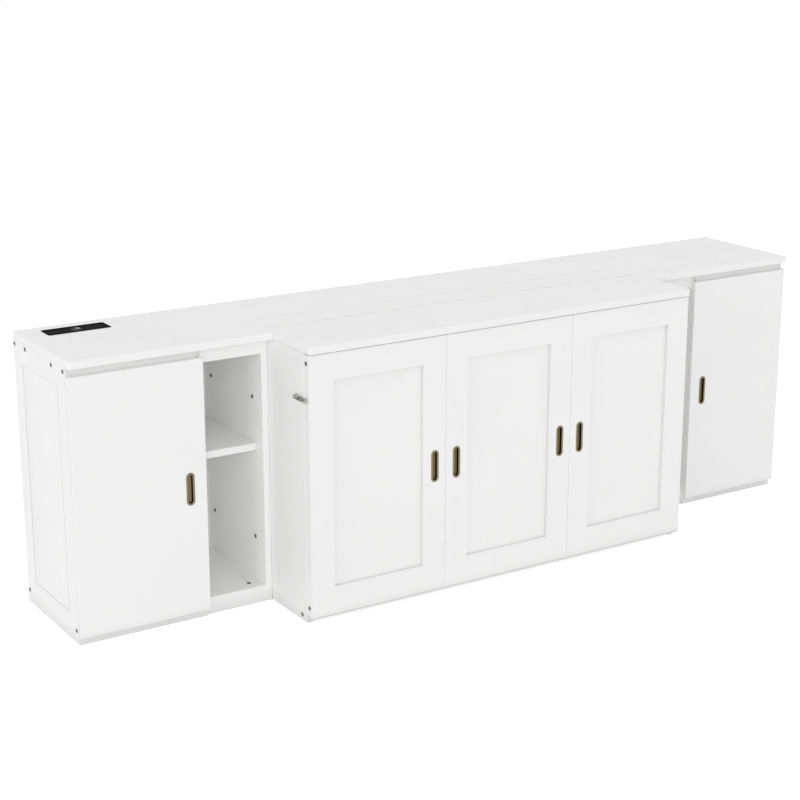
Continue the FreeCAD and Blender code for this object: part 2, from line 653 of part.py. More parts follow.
head_slat_x = CHEST_IN - HEAD_SLAT_END_CLEAR
head_slats = []
for index in range(HEAD_SLATS):
    depth = head_first + index * (head_last - head_first) / (HEAD_SLATS - 1)
    head_slats.append(block(-head_slat_x, head_slat_x, depth, depth + SLAT_WIDTH, BEARER_TOP, PLATFORM))
save("head_slats", [eased(slat, SLAT_EDGE) for slat in head_slats])

# Lid with its long hinge

lid_x = CHEST_OUT - LID_CLEAR
lid = rounded_corners(block(-lid_x, lid_x, lid_back, LID_FRONT, UNDER + LID_CLEAR, HEIGHT), CORNER_ROUND,
                      [(-lid_x, LID_FRONT), (lid_x, LID_FRONT)])
save("lid", [eased_faces(lid)])
lid_axis_z = HEIGHT + LID_AXIS_RISE
hinge_x = CHEST_IN - LID_HINGE_INSET
leaf_low = UNDER + LID_LEAF_RISE
leaf_high = lid_axis_z - LID_KNUCKLE - LID_LEAF_CLEAR


def lid_leaf(back, front, odd):
    pieces = [block(-hinge_x, hinge_x, back, front, leaf_low, leaf_high)]
    for low, high, ring in knuckles(-hinge_x, hinge_x, LID_KNUCKLE_COUNT, odd, LID_LINE_DEPTH, lid_axis_z,
                                    LID_KNUCKLE):
        pieces.append(ring)
        pieces.append(block(low, high, back, front, leaf_high, lid_axis_z))
    return joined(pieces)


def lid_rod(radius):
    return rod(radius, 2 * hinge_x, point(-hinge_x, LID_LINE_DEPTH, lid_axis_z), RIGHT)


fixed_leaf = lid_leaf(lid_rail_front, lid_rail_front + LID_LEAF, 0)
moving_leaf = lid_leaf(lid_back - LID_LEAF, lid_back, 1)
save("lid_hinge_fixed_leaf", [joined([fixed_leaf, lid_rod(LID_PIN)])])
save("lid_hinge_moving_leaf", [moving_leaf.cut(lid_rod(LID_PIN + PIN_CLEAR))])

# Fold-down front panel: three framed bays held together by slats

infill_front = PANEL_FRONT - PANEL_RECESS
infill_back = infill_front - INFILL_THICK
rail_high = PANEL_HIGH - TOP_RAIL
rail_low = PANEL_LOW + BOTTOM_RAIL
half_gap = BAY_GAP / 2
outer_bay = BAY_EDGE + half_gap
middle_bay = BAY_EDGE - half_gap
openings = [
    (outer_bay + STILE, PANEL_X - STILE),
    (STILE - middle_bay, middle_bay - STILE),
    (STILE - PANEL_X, -outer_bay - STILE),
]
front_grooves = [block(x0 - groove_reach, x1 + groove_reach, infill_back, infill_front + GROOVE_SLACK,
                       rail_low - groove_reach, rail_high + groove_reach) for x0, x1 in openings]
pull_spots = [sign * BAY_EDGE + shift for sign in (-1, 1) for shift in (-PULL_OFFSET, PULL_OFFSET)]
pockets = [pull_pocket(x, PULL_Z, PANEL_FRONT) for x in pull_spots]
infills = [block(x0 - GROOVE, x1 + GROOVE, infill_back, infill_front, rail_low - GROOVE, rail_high + GROOVE)
           for x0, x1 in openings]
save("front_infill_boards", infills)
outer_stile = block(PANEL_X - STILE, PANEL_X, PANEL_BACK, PANEL_FRONT, PANEL_LOW, PANEL_HIGH)
outer_stiles = both_sides([outer_stile])
save("front_outer_stiles", [cut_all(board, front_grooves + edge_holes) for board in outer_stiles])
inner_stiles = [
    block(outer_bay, outer_bay + STILE, PANEL_BACK, PANEL_FRONT, rail_low, rail_high),
    block(middle_bay - STILE, middle_bay, PANEL_BACK, PANEL_FRONT, rail_low, rail_high),
]
save("front_inner_stiles", [cut_all(board, front_grooves + pockets) for board in both_sides(inner_stiles)])
rail_spans = [(outer_bay, PANEL_X - STILE), (-middle_bay, middle_bay), (STILE - PANEL_X, -outer_bay)]
front_rails = []
for x0, x1 in rail_spans:
    front_rails.append(block(x0, x1, PANEL_BACK, PANEL_FRONT, rail_high, PANEL_HIGH))
    front_rails.append(block(x0, x1, PANEL_BACK, PANEL_FRONT, PANEL_LOW, rail_low))
save("front_rails", [cut_all(board, front_grooves + edge_holes) for board in front_rails])
save("front_pulls", [pull(x, PULL_Z, PANEL_FRONT) for x in pull_spots])
slat_x = CHEST_IN - SLAT_END_CLEAR
slat_first = PLATFORM + PANEL_SLAT_START
slat_last = FOOT_AXIS_Z - FOOT_KNUCKLE - FOOT_KNUCKLE_CLEAR - SLAT_WIDTH
front_slats = []
for index in range(PANEL_SLATS):
    z = slat_first + index * (slat_last - slat_first) / (PANEL_SLATS - 1)
    front_slats.append(block(-slat_x, slat_x, SLAT_FACE, PANEL_BACK, z, z + SLAT_WIDTH))
save("front_slats", [eased(slat, SLAT_EDGE) for slat in front_slats])

# Pivot hinges between the floor rail and the panel's lower edge

arm_low = PIVOT_Z - PIVOT_KNUCKLE + PIVOT_ARM_RISE
plate_front = FLOOR_RAIL_FRONT + PIVOT_PLATE
web_half = PIVOT_KNUCKLE - PIVOT_WEB_INSET
pivot_end_x = PANEL_X - PIVOT_END_INSET
fixed_pivots = []
moving_pivots = []
for x in (-pivot_end_x, -PIVOT_INNER_X, PIVOT_INNER_X, pivot_end_x):
    x0 = x - PIVOT_WIDTH / 2
    x1 = x + PIVOT_WIDTH / 2
    pin_start = point(x0, PIVOT_DEPTH, PIVOT_Z)
    pieces = [block(x0, x1, FLOOR_RAIL_FRONT, plate_front, PIVOT_PLATE_LOW, BEARER_TOP - PIVOT_PLATE_DROP)]
    pieces.append(rod(PIVOT_PIN, PIVOT_WIDTH, pin_start, RIGHT))
    for low, high, ring in knuckles(x0, x1, 3, 0, PIVOT_DEPTH, PIVOT_Z, PIVOT_KNUCKLE):
        pieces.append(ring)
        pieces.append(block(low, high, FLOOR_RAIL_FRONT, PIVOT_DEPTH, arm_low, arm_low + PIVOT_ARM))
    fixed_pivots.append(joined(pieces))
    low, high, ring = knuckles(x0, x1, 3, 1, PIVOT_DEPTH, PIVOT_Z, PIVOT_KNUCKLE)[0]
    web = block(low, high, PIVOT_DEPTH - web_half, PIVOT_DEPTH + web_half, PIVOT_Z, PANEL_LOW)
    leaf = block(low, high, PANEL_BACK + PIVOT_LEAF_INSET, PANEL_FRONT - PIVOT_LEAF_INSET,
                 PANEL_LOW - PIVOT_LEAF, PANEL_LOW)
    bore = rod(PIVOT_PIN + PIN_CLEAR, PIVOT_WIDTH, pin_start, RIGHT)
    moving_pivots.append(joined([ring, web, leaf]).cut(bore))
save("panel_hinge_fixed_arms", fixed_pivots)
save("panel_hinge_moving_arms", moving_pivots)

# Foot section, folded against the slats of the closed panel

foot_high = FOOT_AXIS_Z - FOOT_SLAT_START
foot_end = foot_high - FOOT_LENGTH
foot_slats = []
for index in range(FOOT_SLATS):
    high = foot_high - index * (FOOT_LENGTH - SLAT_WIDTH) / (FOOT_SLATS - 1)
    foot_slats.append(block(-FOOT_HALF_WIDTH, FOOT_HALF_WIDTH, FOOT_FACE - SLAT_THICK, FOOT_FACE,
                            high - SLAT_WIDTH, high))
save("foot_slats", [eased(slat, SLAT_EDGE) for slat in foot_slats])
bearer_front = FOOT_FACE - SLAT_THICK
bearer_back = bearer_front - SLAT_THICK
bearer_x = FOOT_HALF_WIDTH - FOOT_BEARER_INSET
pad_height = (PANEL_FRONT + FLOOR_GAP) - (SLAT_FACE + 2 * SLAT_THICK) - PAD_CLEAR
foot_bearers = []
foot_pads = []
for x in (-bearer_x, 0.0, bearer_x):
    half = FOOT_BEARER_WIDTH / 2
    foot_bearers.append(block(x - half, x + half, bearer_back, bearer_front, foot_end,
                              FOOT_AXIS_Z - FOOT_BEARER_START))
    for z in (foot_high - PAD_START, foot_end + PAD_END_INSET):
        foot_pads.append(rod(PAD_RADIUS, pad_height, point(x, bearer_back - pad_height, z), FORWARD))
save("foot_bearers", foot_bearers)
save("foot_pads", foot_pads)


def foot_leaf(x, odd, back, front):
    x0 = x - FOOT_HINGE_WIDTH / 2
    x1 = x + FOOT_HINGE_WIDTH / 2
    leaf_top = FOOT_AXIS_Z - FOOT_KNUCKLE - FOOT_LEAF_CLEAR
    pieces = [block(x0, x1, back, front, leaf_top - FOOT_LEAF_LENGTH, leaf_top)]
    for low, high, ring in knuckles(x0, x1, 5, odd, FOOT_AXIS_DEPTH, FOOT_AXIS_Z, FOOT_KNUCKLE):
        pieces.append(ring)
        pieces.append(block(low, high, back, front, leaf_top, FOOT_AXIS_Z))
    return joined(pieces)


def foot_rod(x, radius):
    start = point(x - FOOT_HINGE_WIDTH / 2, FOOT_AXIS_DEPTH, FOOT_AXIS_Z)
    return rod(radius, FOOT_HINGE_WIDTH, start, RIGHT)


foot_hinge_end_x = FOOT_HALF_WIDTH - FOOT_HINGE_INSET
panel_leaves = []
foot_leaves = []
for x in (-foot_hinge_end_x, -FOOT_HINGE_INNER_X, FOOT_HINGE_INNER_X, foot_hinge_end_x):
    panel_leaf = foot_leaf(x, 0, SLAT_FACE - FOOT_LEAF, SLAT_FACE)
    panel_leaves.append(joined([panel_leaf, foot_rod(x, FOOT_PIN)]))
    loose_leaf = foot_leaf(x, 1, FOOT_FACE, FOOT_FACE + FOOT_LEAF)
    foot_leaves.append(loose_leaf.cut(foot_rod(x, FOOT_PIN + PIN_CLEAR)))
save("foot_hinge_panel_leaves", panel_leaves)
save("foot_hinge_foot_leaves", foot_leaves)

# Side latches: a swinging hook on a rose, dropped over a stud in the panel's edge

hook_x0 = CHEST_OUT + LATCH_STANDOFF
hook_x1 = hook_x0 + LATCH_PLATE
cap_x = hook_x1 + LATCH_PLATE_CLEAR
stud_base_x = hook_x0 - LATCH_PLATE_CLEAR
latch_pivot = point(CHEST_OUT, LATCH_PIVOT_DEPTH, LATCH_Z)
rose = rod(LATCH_ROSE, LATCH_ROSE_THICK, latch_pivot, RIGHT)
post = rod(LATCH_POST, cap_x - CHEST_OUT, latch_pivot, RIGHT)
knob = rod(LATCH_KNOB, LATCH_KNOB_THICK, point(cap_x, LATCH_PIVOT_DEPTH, LATCH_Z), RIGHT)
save("latch_bases", both_sides([joined([rose, post, knob])]))
stud_start = point(PANEL_X, PIVOT_DEPTH, LATCH_Z)
stud = joined([
    rod(LATCH_STUD_BASE, stud_base_x - PANEL_X, stud_start, RIGHT),
    rod(LATCH_STUD, cap_x - PANEL_X, stud_start, RIGHT),
    rod(LATCH_STUD_CAP, LATCH_STUD_CAP_THICK, point(cap_x, PIVOT_DEPTH, LATCH_Z), RIGHT),
])
save("latch_studs", both_sides([stud]))


def hook_disc(radius, depth):
    return rod(radius, LATCH_PLATE, point(hook_x0, depth, LATCH_Z), RIGHT)


def hook_bar(half, d0, d1):
    return block(hook_x0, hook_x1, d0, d1, LATCH_Z - half, LATCH_Z + half)


body_end = LATCH_PIVOT_DEPTH + LATCH_BODY_LENGTH
notch = LATCH_STUD + LATCH_STUD_CLEAR
hook = joined([
    hook_disc(LATCH_BODY_HALF, LATCH_PIVOT_DEPTH),
    hook_bar(LATCH_BODY_HALF, LATCH_PIVOT_DEPTH, body_end),
    hook_disc(LATCH_BODY_HALF, body_end),
    hook_bar(LATCH_NECK_HALF, body_end, PIVOT_DEPTH),
    hook_disc(LATCH_HEAD, PIVOT_DEPTH),
])
hook = hook.cut(hook_disc(LATCH_POST + PIN_CLEAR, LATCH_PIVOT_DEPTH))
hook = hook.cut(hook_disc(notch, PIVOT_DEPTH))
mouth = block(hook_x0, hook_x1, PIVOT_DEPTH - notch, PIVOT_DEPTH + notch, LATCH_Z - 2 * LATCH_HEAD, LATCH_Z)
hook = hook.cut(mouth)
hook = hook.cut(hook_disc(LATCH_HOLE, LATCH_PIVOT_DEPTH + LATCH_HOLE_OFFSET))
save("right_latch_hook", [hook])
save("left_latch_hook", [flipped(hook)])
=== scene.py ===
# %% [markdown]
# # A wall bed in a long white cabinet
# The bed chest stands in the middle, its front panel folds down, its lid flips back, and a
# cupboard with a hinged door stands on each side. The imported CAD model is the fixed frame:
# every board already has its real size and place. This lesson dresses that frame with
# paint, timber and metal, and makes the small fittings that need finer shapes.

import math

import bmesh
import bpy
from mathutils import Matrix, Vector


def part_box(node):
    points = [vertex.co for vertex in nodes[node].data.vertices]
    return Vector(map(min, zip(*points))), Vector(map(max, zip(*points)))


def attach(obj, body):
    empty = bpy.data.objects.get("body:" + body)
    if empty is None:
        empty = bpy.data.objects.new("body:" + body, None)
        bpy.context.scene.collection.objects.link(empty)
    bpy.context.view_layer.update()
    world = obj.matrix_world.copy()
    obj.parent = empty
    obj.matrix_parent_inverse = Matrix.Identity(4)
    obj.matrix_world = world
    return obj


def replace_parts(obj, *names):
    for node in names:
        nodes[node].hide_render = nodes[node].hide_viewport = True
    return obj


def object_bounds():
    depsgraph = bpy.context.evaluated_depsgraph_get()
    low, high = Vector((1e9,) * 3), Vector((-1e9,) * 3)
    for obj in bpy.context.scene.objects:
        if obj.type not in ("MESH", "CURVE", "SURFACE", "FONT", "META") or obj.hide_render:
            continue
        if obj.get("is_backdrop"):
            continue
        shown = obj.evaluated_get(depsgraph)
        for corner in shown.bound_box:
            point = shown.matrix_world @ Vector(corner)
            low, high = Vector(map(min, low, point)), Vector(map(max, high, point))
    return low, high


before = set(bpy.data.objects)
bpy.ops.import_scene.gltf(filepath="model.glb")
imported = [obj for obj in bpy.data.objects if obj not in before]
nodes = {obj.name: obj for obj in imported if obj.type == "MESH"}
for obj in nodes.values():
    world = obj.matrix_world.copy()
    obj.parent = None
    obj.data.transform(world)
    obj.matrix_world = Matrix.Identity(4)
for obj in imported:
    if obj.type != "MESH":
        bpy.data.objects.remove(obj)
cad_low, cad_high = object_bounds()
scene = bpy.context.scene
print("frame:", len(nodes), "nodes, box", [round(v, 4) for v in (*cad_low, *cad_high)])

# %% [markdown]
# ## Sizes of the cabinet
# Places on this cabinet are measured in millimetres, as a fitter would: along the wall from
# the middle, forwards from the wall, and up from the floor. A helper turns such a place into
# the shared frame, which counts in metres. The sizes here are those that several steps need.

# %% Cabinet sizes
MM = 0.001
WALL = cad_high.y
CHEST_OUT, END_OUT, NICHE_WALL = 830.0, 1575.0, 855.0
PANEL_X, PANEL_FRONT, DOOR_FRONT = 829.0, 747.0, 490.0


def at(x, depth, z):
    return Vector((x * MM, WALL - depth * MM, z * MM))


print("wall at y =", round(WALL, 4))

# %% [markdown]
# ## Wiring helpers
# Materials and Geometry Nodes are both trees of nodes. They could be wired by hand with
# long lists of links. A few small helpers keep it readable: one joins a socket to an output
# or sets its value, one adds a node and fills its inputs, and the rest name common nodes.

# %% Node helpers
def plug(tree, socket, value):
    if isinstance(value, bpy.types.NodeSocket):
        tree.links.new(value, socket)
    else:
        socket.default_value = value


def add(tree, kind, values=None, **settings):
    made = tree.nodes.new(kind)
    for name, value in settings.items():
        setattr(made, name, value)
    for name, value in (values or {}).items():
        plug(tree, made.inputs[name], value)
    return made


def maths(tree, operation, a, b=0.0):
    return add(tree, "ShaderNodeMath", {0: a, 1: b}, operation=operation).outputs[0]


def vector_maths(tree, operation, a, b):
    return add(tree, "ShaderNodeVectorMath", {0: a, 1: b}, operation=operation).outputs[0]


def triple(tree, x=0.0, y=0.0, z=0.0):
    return add(tree, "ShaderNodeCombineXYZ", {0: x, 1: y, 2: z}).outputs[0]


def blend_colour(tree, amount, first, second):
    mix = add(tree, "ShaderNodeMix", {0: amount, 6: first, 7: second}, data_type="RGBA")
    return mix.outputs[2]


def spread(tree, value, low, high, new_low, new_high):
    limits = {0: value, 1: low, 2: high, 3: new_low, 4: new_high}
    return add(tree, "ShaderNodeMapRange", limits).outputs[0]


def noise(tree, place, scale, detail=2.0):
    values = {"Vector": place, "Scale": scale, "Detail": detail}
    return add(tree, "ShaderNodeTexNoise", values).outputs[0]


def rgb(red, green, blue):
    return (red, green, blue, 1.0)


FLOAT, COLOUR, VECTOR = "NodeSocketFloat", "NodeSocketColor", "NodeSocketVector"
SURFACE = {"Color": COLOUR, "Roughness": FLOAT, "Height": FLOAT}


def effect(name, inputs):
    tree = bpy.data.node_groups.new(name, "ShaderNodeTree")
    tree.interface.new_socket("Place", in_out="INPUT", socket_type=VECTOR)
    for label, (kind, value) in inputs.items():
        tree.interface.new_socket(label, in_out="INPUT", socket_type=kind).default_value = value
    for label, kind in SURFACE.items():
        tree.interface.new_socket(label, in_out="OUTPUT", socket_type=kind)
    return tree, tree.nodes.new("NodeGroupInput").outputs, tree.nodes.new("NodeGroupOutput").inputs


print("helpers ready")

# %% [markdown]
# ## Sprayed paint
# The boards are sprayed with satin white lacquer. Up close it has a fine orange peel, a
# faint cloudiness and small changes in gloss where the spray lay thicker. Flat white would
# look like paper, so noise at three scales gives the colour, the gloss and the height.

# %% Effect: sprayed lacquer
GLOSS_PATCHES = (9.0, 9.0, 9.0)
lacquer, given, out = effect("sprayed_lacquer", {
    "Colour": (COLOUR, rgb(0.86, 0.86, 0.86)), "Shade": (COLOUR, rgb(0.83, 0.83, 0.83)),
    "Cloud Scale": (FLOAT, 3.0), "Peel Scale": (FLOAT, 700.0), "Gloss": (FLOAT, 0.42)})
clouds = noise(lacquer, given["Place"], given["Cloud Scale"], 3.0)
peel = noise(lacquer, given["Place"], given["Peel Scale"], 1.5)
patch_place = vector_maths(lacquer, "MULTIPLY", given["Place"], GLOSS_PATCHES)
patches = noise(lacquer, patch_place, given["Cloud Scale"], 2.0)
cloudiness = spread(lacquer, clouds, 0.35, 0.7, 0.0, 1.0)
plug(lacquer, out["Color"], blend_colour(lacquer, cloudiness, given["Colour"], given["Shade"]))
unevenness = spread(lacquer, patches, 0.3, 0.7, -0.04, 0.06)
plug(lacquer, out["Roughness"], maths(lacquer, "ADD", given["Gloss"], unevenness))
plug(lacquer, out["Height"], peel)
print("effect:", lacquer.name)

# %% [markdown]
# ## Planed timber
# The slats and bearers inside the bed are planed pine. The year rings show as soft bands
# along each board, with fine fibres over them. A wave texture bent by noise gives the bands,
# and stretching the coordinates along the board gives the fibres. Each slat carries a number
# of its own, so that no two show the same piece of the tree.

# %% Effect: planed timber
BOARD_SHIFT, GRAIN_STRETCH, FIBRE_STRETCH = (17.3, 5.9, 9.1), (0.7, 9.0, 9.0), (1.0, 4.0, 4.0)
RING_SHARE, FIBRE_SHARE = 0.55, 0.45
timber, given, out = effect("planed_timber", {
    "Pale": (COLOUR, rgb(0.72, 0.55, 0.36)), "Dark": (COLOUR, rgb(0.50, 0.33, 0.17)),
    "Board Number": (FLOAT, 0.0), "Ring Scale": (FLOAT, 5.0), "Fibre Scale": (FLOAT, 40.0)})
shift = triple(timber, *[maths(timber, "MULTIPLY", given["Board Number"], step) for step in BOARD_SHIFT])
grain_place = vector_maths(timber, "MULTIPLY", given["Place"], GRAIN_STRETCH)
grain_place = vector_maths(timber, "ADD", grain_place, shift)
RING_BEND = {"Distortion": 5.0, "Detail": 2.5, "Detail Scale": 1.2}
ring_inputs = {"Vector": grain_place, "Scale": given["Ring Scale"], **RING_BEND}
rings = add(timber, "ShaderNodeTexWave", ring_inputs, bands_direction="DIAGONAL",
            wave_profile="SAW").outputs["Fac"]
fibre_place = vector_maths(timber, "MULTIPLY", grain_place, FIBRE_STRETCH)
fibres = noise(timber, fibre_place, given["Fibre Scale"], 4.0)
figure = maths(timber, "ADD", maths(timber, "MULTIPLY", rings, RING_SHARE),
               maths(timber, "MULTIPLY", fibres, FIBRE_SHARE))
darkness = spread(timber, figure, 0.2, 0.8, 0.0, 0.9)
plug(timber, out["Color"], blend_colour(timber, darkness, given["Pale"], given["Dark"]))
plug(timber, out["Roughness"], spread(timber, fibres, 0.3, 0.7, 0.48, 0.64))
plug(timber, out["Height"], figure)
print("effect:", timber.name)

# %% [markdown]
# ## Finished metal
# Hinges, latches, bolts and pulls are plated or blackened metal. Real plating is never one
# even tone: fine brushing runs one way, and a thin tarnish gathers in patches. The group
# takes the brushing direction as a stretch, so that each fitting can have its own.

# %% Effect: finished metal
STROKE_SCALE, STAIN_ROUGHNESS = 4.0, 0.15
plated, given, out = effect("finished_metal", {
    "Colour": (COLOUR, rgb(0.6, 0.6, 0.6)), "Tarnish": (COLOUR, rgb(0.4, 0.4, 0.4)),
    "Tarnish Amount": (FLOAT, 0.4), "Brush": (VECTOR, (30.0, 600.0, 600.0)),
    "Patch Scale": (FLOAT, 120.0), "Gloss": (FLOAT, 0.3)})
strokes = noise(plated, vector_maths(plated, "MULTIPLY", given["Place"], given["Brush"]), STROKE_SCALE, 2.0)
patches = noise(plated, given["Place"], given["Patch Scale"], 3.0)
stain = maths(plated, "MULTIPLY", spread(plated, patches, 0.4, 0.7, 0.0, 1.0), given["Tarnish Amount"])
plug(plated, out["Color"], blend_colour(plated, stain, given["Colour"], given["Tarnish"]))
brushing = spread(plated, strokes, 0.3, 0.7, -0.05, 0.07)
dullness = maths(plated, "ADD", brushing, maths(plated, "MULTIPLY", stain, STAIN_ROUGHNESS))
plug(plated, out["Roughness"], maths(plated, "ADD", given["Gloss"], dullness))
plug(plated, out["Height"], strokes)
print("effect:", plated.name)

# %% [markdown]
# ## Moulded plastic
# The power strip and the rubber feet are moulded. Their moulds are spark eroded, which
# leaves a fine pebbled skin. Cells from a Voronoi texture make the pebbles, and a
# slow noise keeps the tone from being dead flat. Foam, the grey strip and the grey seam bead use
# the same skin; the grey of the strip and the bead is painted shade.

# %% Effect: moulded skin
SLOW_SCALE = 40.0
moulded, given, out = effect("moulded_skin", {
    "Colour": (COLOUR, rgb(0.05, 0.05, 0.05)), "Worn": (COLOUR, rgb(0.08, 0.08, 0.08)),
    "Pebble Scale": (FLOAT, 1400.0), "Gloss": (FLOAT, 0.5)})
pebbles = add(moulded, "ShaderNodeTexVoronoi", {
    "Vector": given["Place"], "Scale": given["Pebble Scale"]}).outputs["Distance"]
slow = noise(moulded, given["Place"], SLOW_SCALE, 3.0)
wear = spread(moulded, slow, 0.4, 0.75, 0.0, 1.0)
plug(moulded, out["Color"], blend_colour(moulded, wear, given["Colour"], given["Worn"]))
unevenness = spread(moulded, slow, 0.3, 0.7, -0.06, 0.06)
plug(moulded, out["Roughness"], maths(moulded, "ADD", given["Gloss"], unevenness))
plug(moulded, out["Height"], pebbles)
print("effect:", moulded.name)

# %% [markdown]
# ## Materials
# Each finish is one Principled material. The group brings the colour, gloss and height that
# change over the surface, and everything that is the same all over, such as metallic, is set
# on the shader itself. Object coordinates keep the pattern on the piece as it moves. The depth
# is the height of the bumps.

# %% Material maker
BUMP_STRENGTH = 0.35


def finish(name, group, depth, values=None, metallic=0.0, **plain):
    material = bpy.data.materials.new(name)
    material.use_nodes = True
    tree = material.node_tree
    shader = tree.nodes["Principled BSDF"]
    place = add(tree, "ShaderNodeTexCoord").outputs["Object"]
    skin = add(tree, "ShaderNodeGroup", node_tree=group)
    for label, value in {"Place": place, **(values or {})}.items():
        plug(tree, skin.inputs[label], value)
    bump = add(tree, "ShaderNodeBump", {
        "Height": skin.outputs["Height"], "Strength": BUMP_STRENGTH, "Distance": depth})
    plug(tree, shader.inputs["Base Color"], skin.outputs["Color"])
    plug(tree, shader.inputs["Roughness"], skin.outputs["Roughness"])
    plug(tree, shader.inputs["Normal"], bump.outputs[0])
    plug(tree, shader.inputs["Metallic"], metallic)
    for label, value in plain.items():
        plug(tree, shader.inputs[label.replace("_", " ")], value)
    return material


def skin_of(material):
    return next(node for node in material.node_tree.nodes if node.type == "GROUP")


def place_of(material):
    tree = material.node_tree
    spot = next(node for node in tree.nodes if node.type == "TEX_COORD").outputs["Object"]
    return add(tree, "ShaderNodeSeparateXYZ", {0: spot}).outputs


def two_tones(material, amount, first, second):
    tree, skin = material.node_tree, skin_of(material)
    for label in first:
        plug(tree, skin.inputs[label], blend_colour(tree, amount, first[label], second[label]))


print("material maker ready")

# %% [markdown]
# Four paints differ only in where they turn greyer, which is chosen further down. The paint on
# the hinges has a finer peel and more gloss.

# %% Paints
PAINT_PEEL = 0.12 * MM
white_paint = finish("white_paint", lacquer, PAINT_PEEL)
rail_paint = finish("rail_paint", lacquer, PAINT_PEEL)
frame_paint = finish("frame_paint", lacquer, PAINT_PEEL)
cover_paint = finish("cover_paint", lacquer, PAINT_PEEL)
hinge_paint = finish("hinge_paint", lacquer, 0.06 * MM, {
    "Colour": rgb(0.86, 0.86, 0.855), "Shade": rgb(0.82, 0.82, 0.815), "Peel Scale": 1500.0, "Gloss": 0.35})
print("materials so far:", len(bpy.data.materials))

# %% [markdown]
# The metals differ in colour, in gloss and in how much they have tarnished.

# %% Metals
zinc = finish("zinc", plated, 0.04 * MM, {
    "Colour": rgb(0.62, 0.63, 0.65), "Tarnish": rgb(0.42, 0.42, 0.42)}, metallic=1.0)
nickel = finish("nickel", plated, 0.02 * MM, {
    "Colour": rgb(0.70, 0.695, 0.68), "Tarnish": rgb(0.16, 0.155, 0.145), "Tarnish Amount": 0.8,
    "Patch Scale": 260.0, "Gloss": 0.18}, metallic=1.0)
blackened = finish("blackened_steel", plated, 0.03 * MM, {
    "Colour": rgb(0.18, 0.18, 0.18), "Tarnish": rgb(0.25, 0.24, 0.23), "Patch Scale": 300.0,
    "Gloss": 0.36}, metallic=0.85)
print("materials so far:", len(bpy.data.materials))

# %% [markdown]
# The plastics of the power strip are matt and nearly black, so their specular level is low. The
# foam, the grey strip and grey bead of painted shade, and the rubber are dull, with little gloss
# of their own.

# %% Plastics, shade bead, shade strip and rubber
black_plastic = finish("black_plastic", moulded, 0.05 * MM, {
    "Colour": rgb(0.004, 0.004, 0.004), "Worn": rgb(0.007, 0.007, 0.007), "Gloss": 0.6},
    Specular_IOR_Level=0.01)
charcoal = finish("charcoal_plastic", moulded, 0.03 * MM, {
    "Colour": rgb(0.009, 0.009, 0.009), "Worn": rgb(0.014, 0.014, 0.014), "Gloss": 0.55},
    Specular_IOR_Level=0.01)
port_plastic = finish("port_plastic", moulded, 0.03 * MM, Specular_IOR_Level=0.1)
white_foam = finish("white_foam", moulded, 0.04 * MM, {
    "Colour": rgb(0.88, 0.88, 0.875), "Worn": rgb(0.84, 0.84, 0.835), "Gloss": 0.8, "Pebble Scale": 2400.0})
# Painted shade: this grey stands in for the shade under the panel's lower edge.
grey_strip = finish("grey_strip", moulded, 0.04 * MM, {
    "Colour": rgb(0.70, 0.70, 0.695), "Worn": rgb(0.74, 0.74, 0.735), "Gloss": 0.7})
# Painted shade: this grey stands in for the shade inside the long top joint.
seam_shade_filler = finish("seam_shade_filler", moulded, 0.04 * MM, {
    "Colour": rgb(0.36, 0.36, 0.355), "Worn": rgb(0.42, 0.42, 0.415), "Gloss": 0.8})
rubber = finish("rubber", moulded, 0.06 * MM, {
    "Colour": rgb(0.02, 0.02, 0.02), "Worn": rgb(0.04, 0.04, 0.038), "Gloss": 0.75, "Pebble Scale": 900.0})
print("materials so far:", len(bpy.data.materials))

# %% [markdown]
# ## Timber that knows its board
# The slats carry a board number as an attribute on their mesh. The same pine material reads
# it, so a second copy of the material isn't needed: pieces without the attribute read zero.

# %% Pine
pine = finish("pine", timber, 0.25 * MM)
board_number = add(pine.node_tree, "ShaderNodeAttribute", attribute_name="board_number").outputs["Fac"]
plug(pine.node_tree, skin_of(pine).inputs["Board Number"], board_number)
print("pine follows board_number")

# %% [markdown]
# ## Antique brass
# The flush pulls are brass that was darkened and then rubbed: rim and floor are a warm grey
# brown. The cup's steep wall is near black, which is dark patina where no finger rubs and also
# painted shade inside the cup. The mesh of a pull carries its depth as an attribute, from 0 on
# the rim to 1 on the floor, and the colour goes from rubbed to dark and back along it.

# %% Antique brass
# Patina and painted shade: the near-black wall colour is dark patina and also shade inside the cup.
RUBBED_FLOOR, WALL_PATINA_AND_SHADE = rgb(0.19, 0.15, 0.08), rgb(0.02, 0.015, 0.006)
RIM_END, WALL_START, WALL_END, FLOOR_START = 0.02, 0.14, 0.9, 0.99
brass = finish("antique_brass", plated, 0.03 * MM, {
    "Colour": rgb(0.24, 0.205, 0.138), "Tarnish": rgb(0.18, 0.145, 0.082), "Brush": (600.0, 600.0, 40.0),
    "Gloss": 0.34}, metallic=0.9)
tree = brass.node_tree
cup_depth = add(tree, "ShaderNodeAttribute", attribute_name="cup_depth").outputs["Fac"]
cup = blend_colour(tree, spread(tree, cup_depth, WALL_END, FLOOR_START, 0.0, 1.0), WALL_PATINA_AND_SHADE, RUBBED_FLOOR)
inside = spread(tree, cup_depth, RIM_END, WALL_START, 0.0, 1.0)
plug(tree, tree.nodes["Principled BSDF"].inputs["Base Color"],
     blend_colour(tree, inside, skin_of(brass).outputs["Color"], cup))
print("brass follows cup_depth")
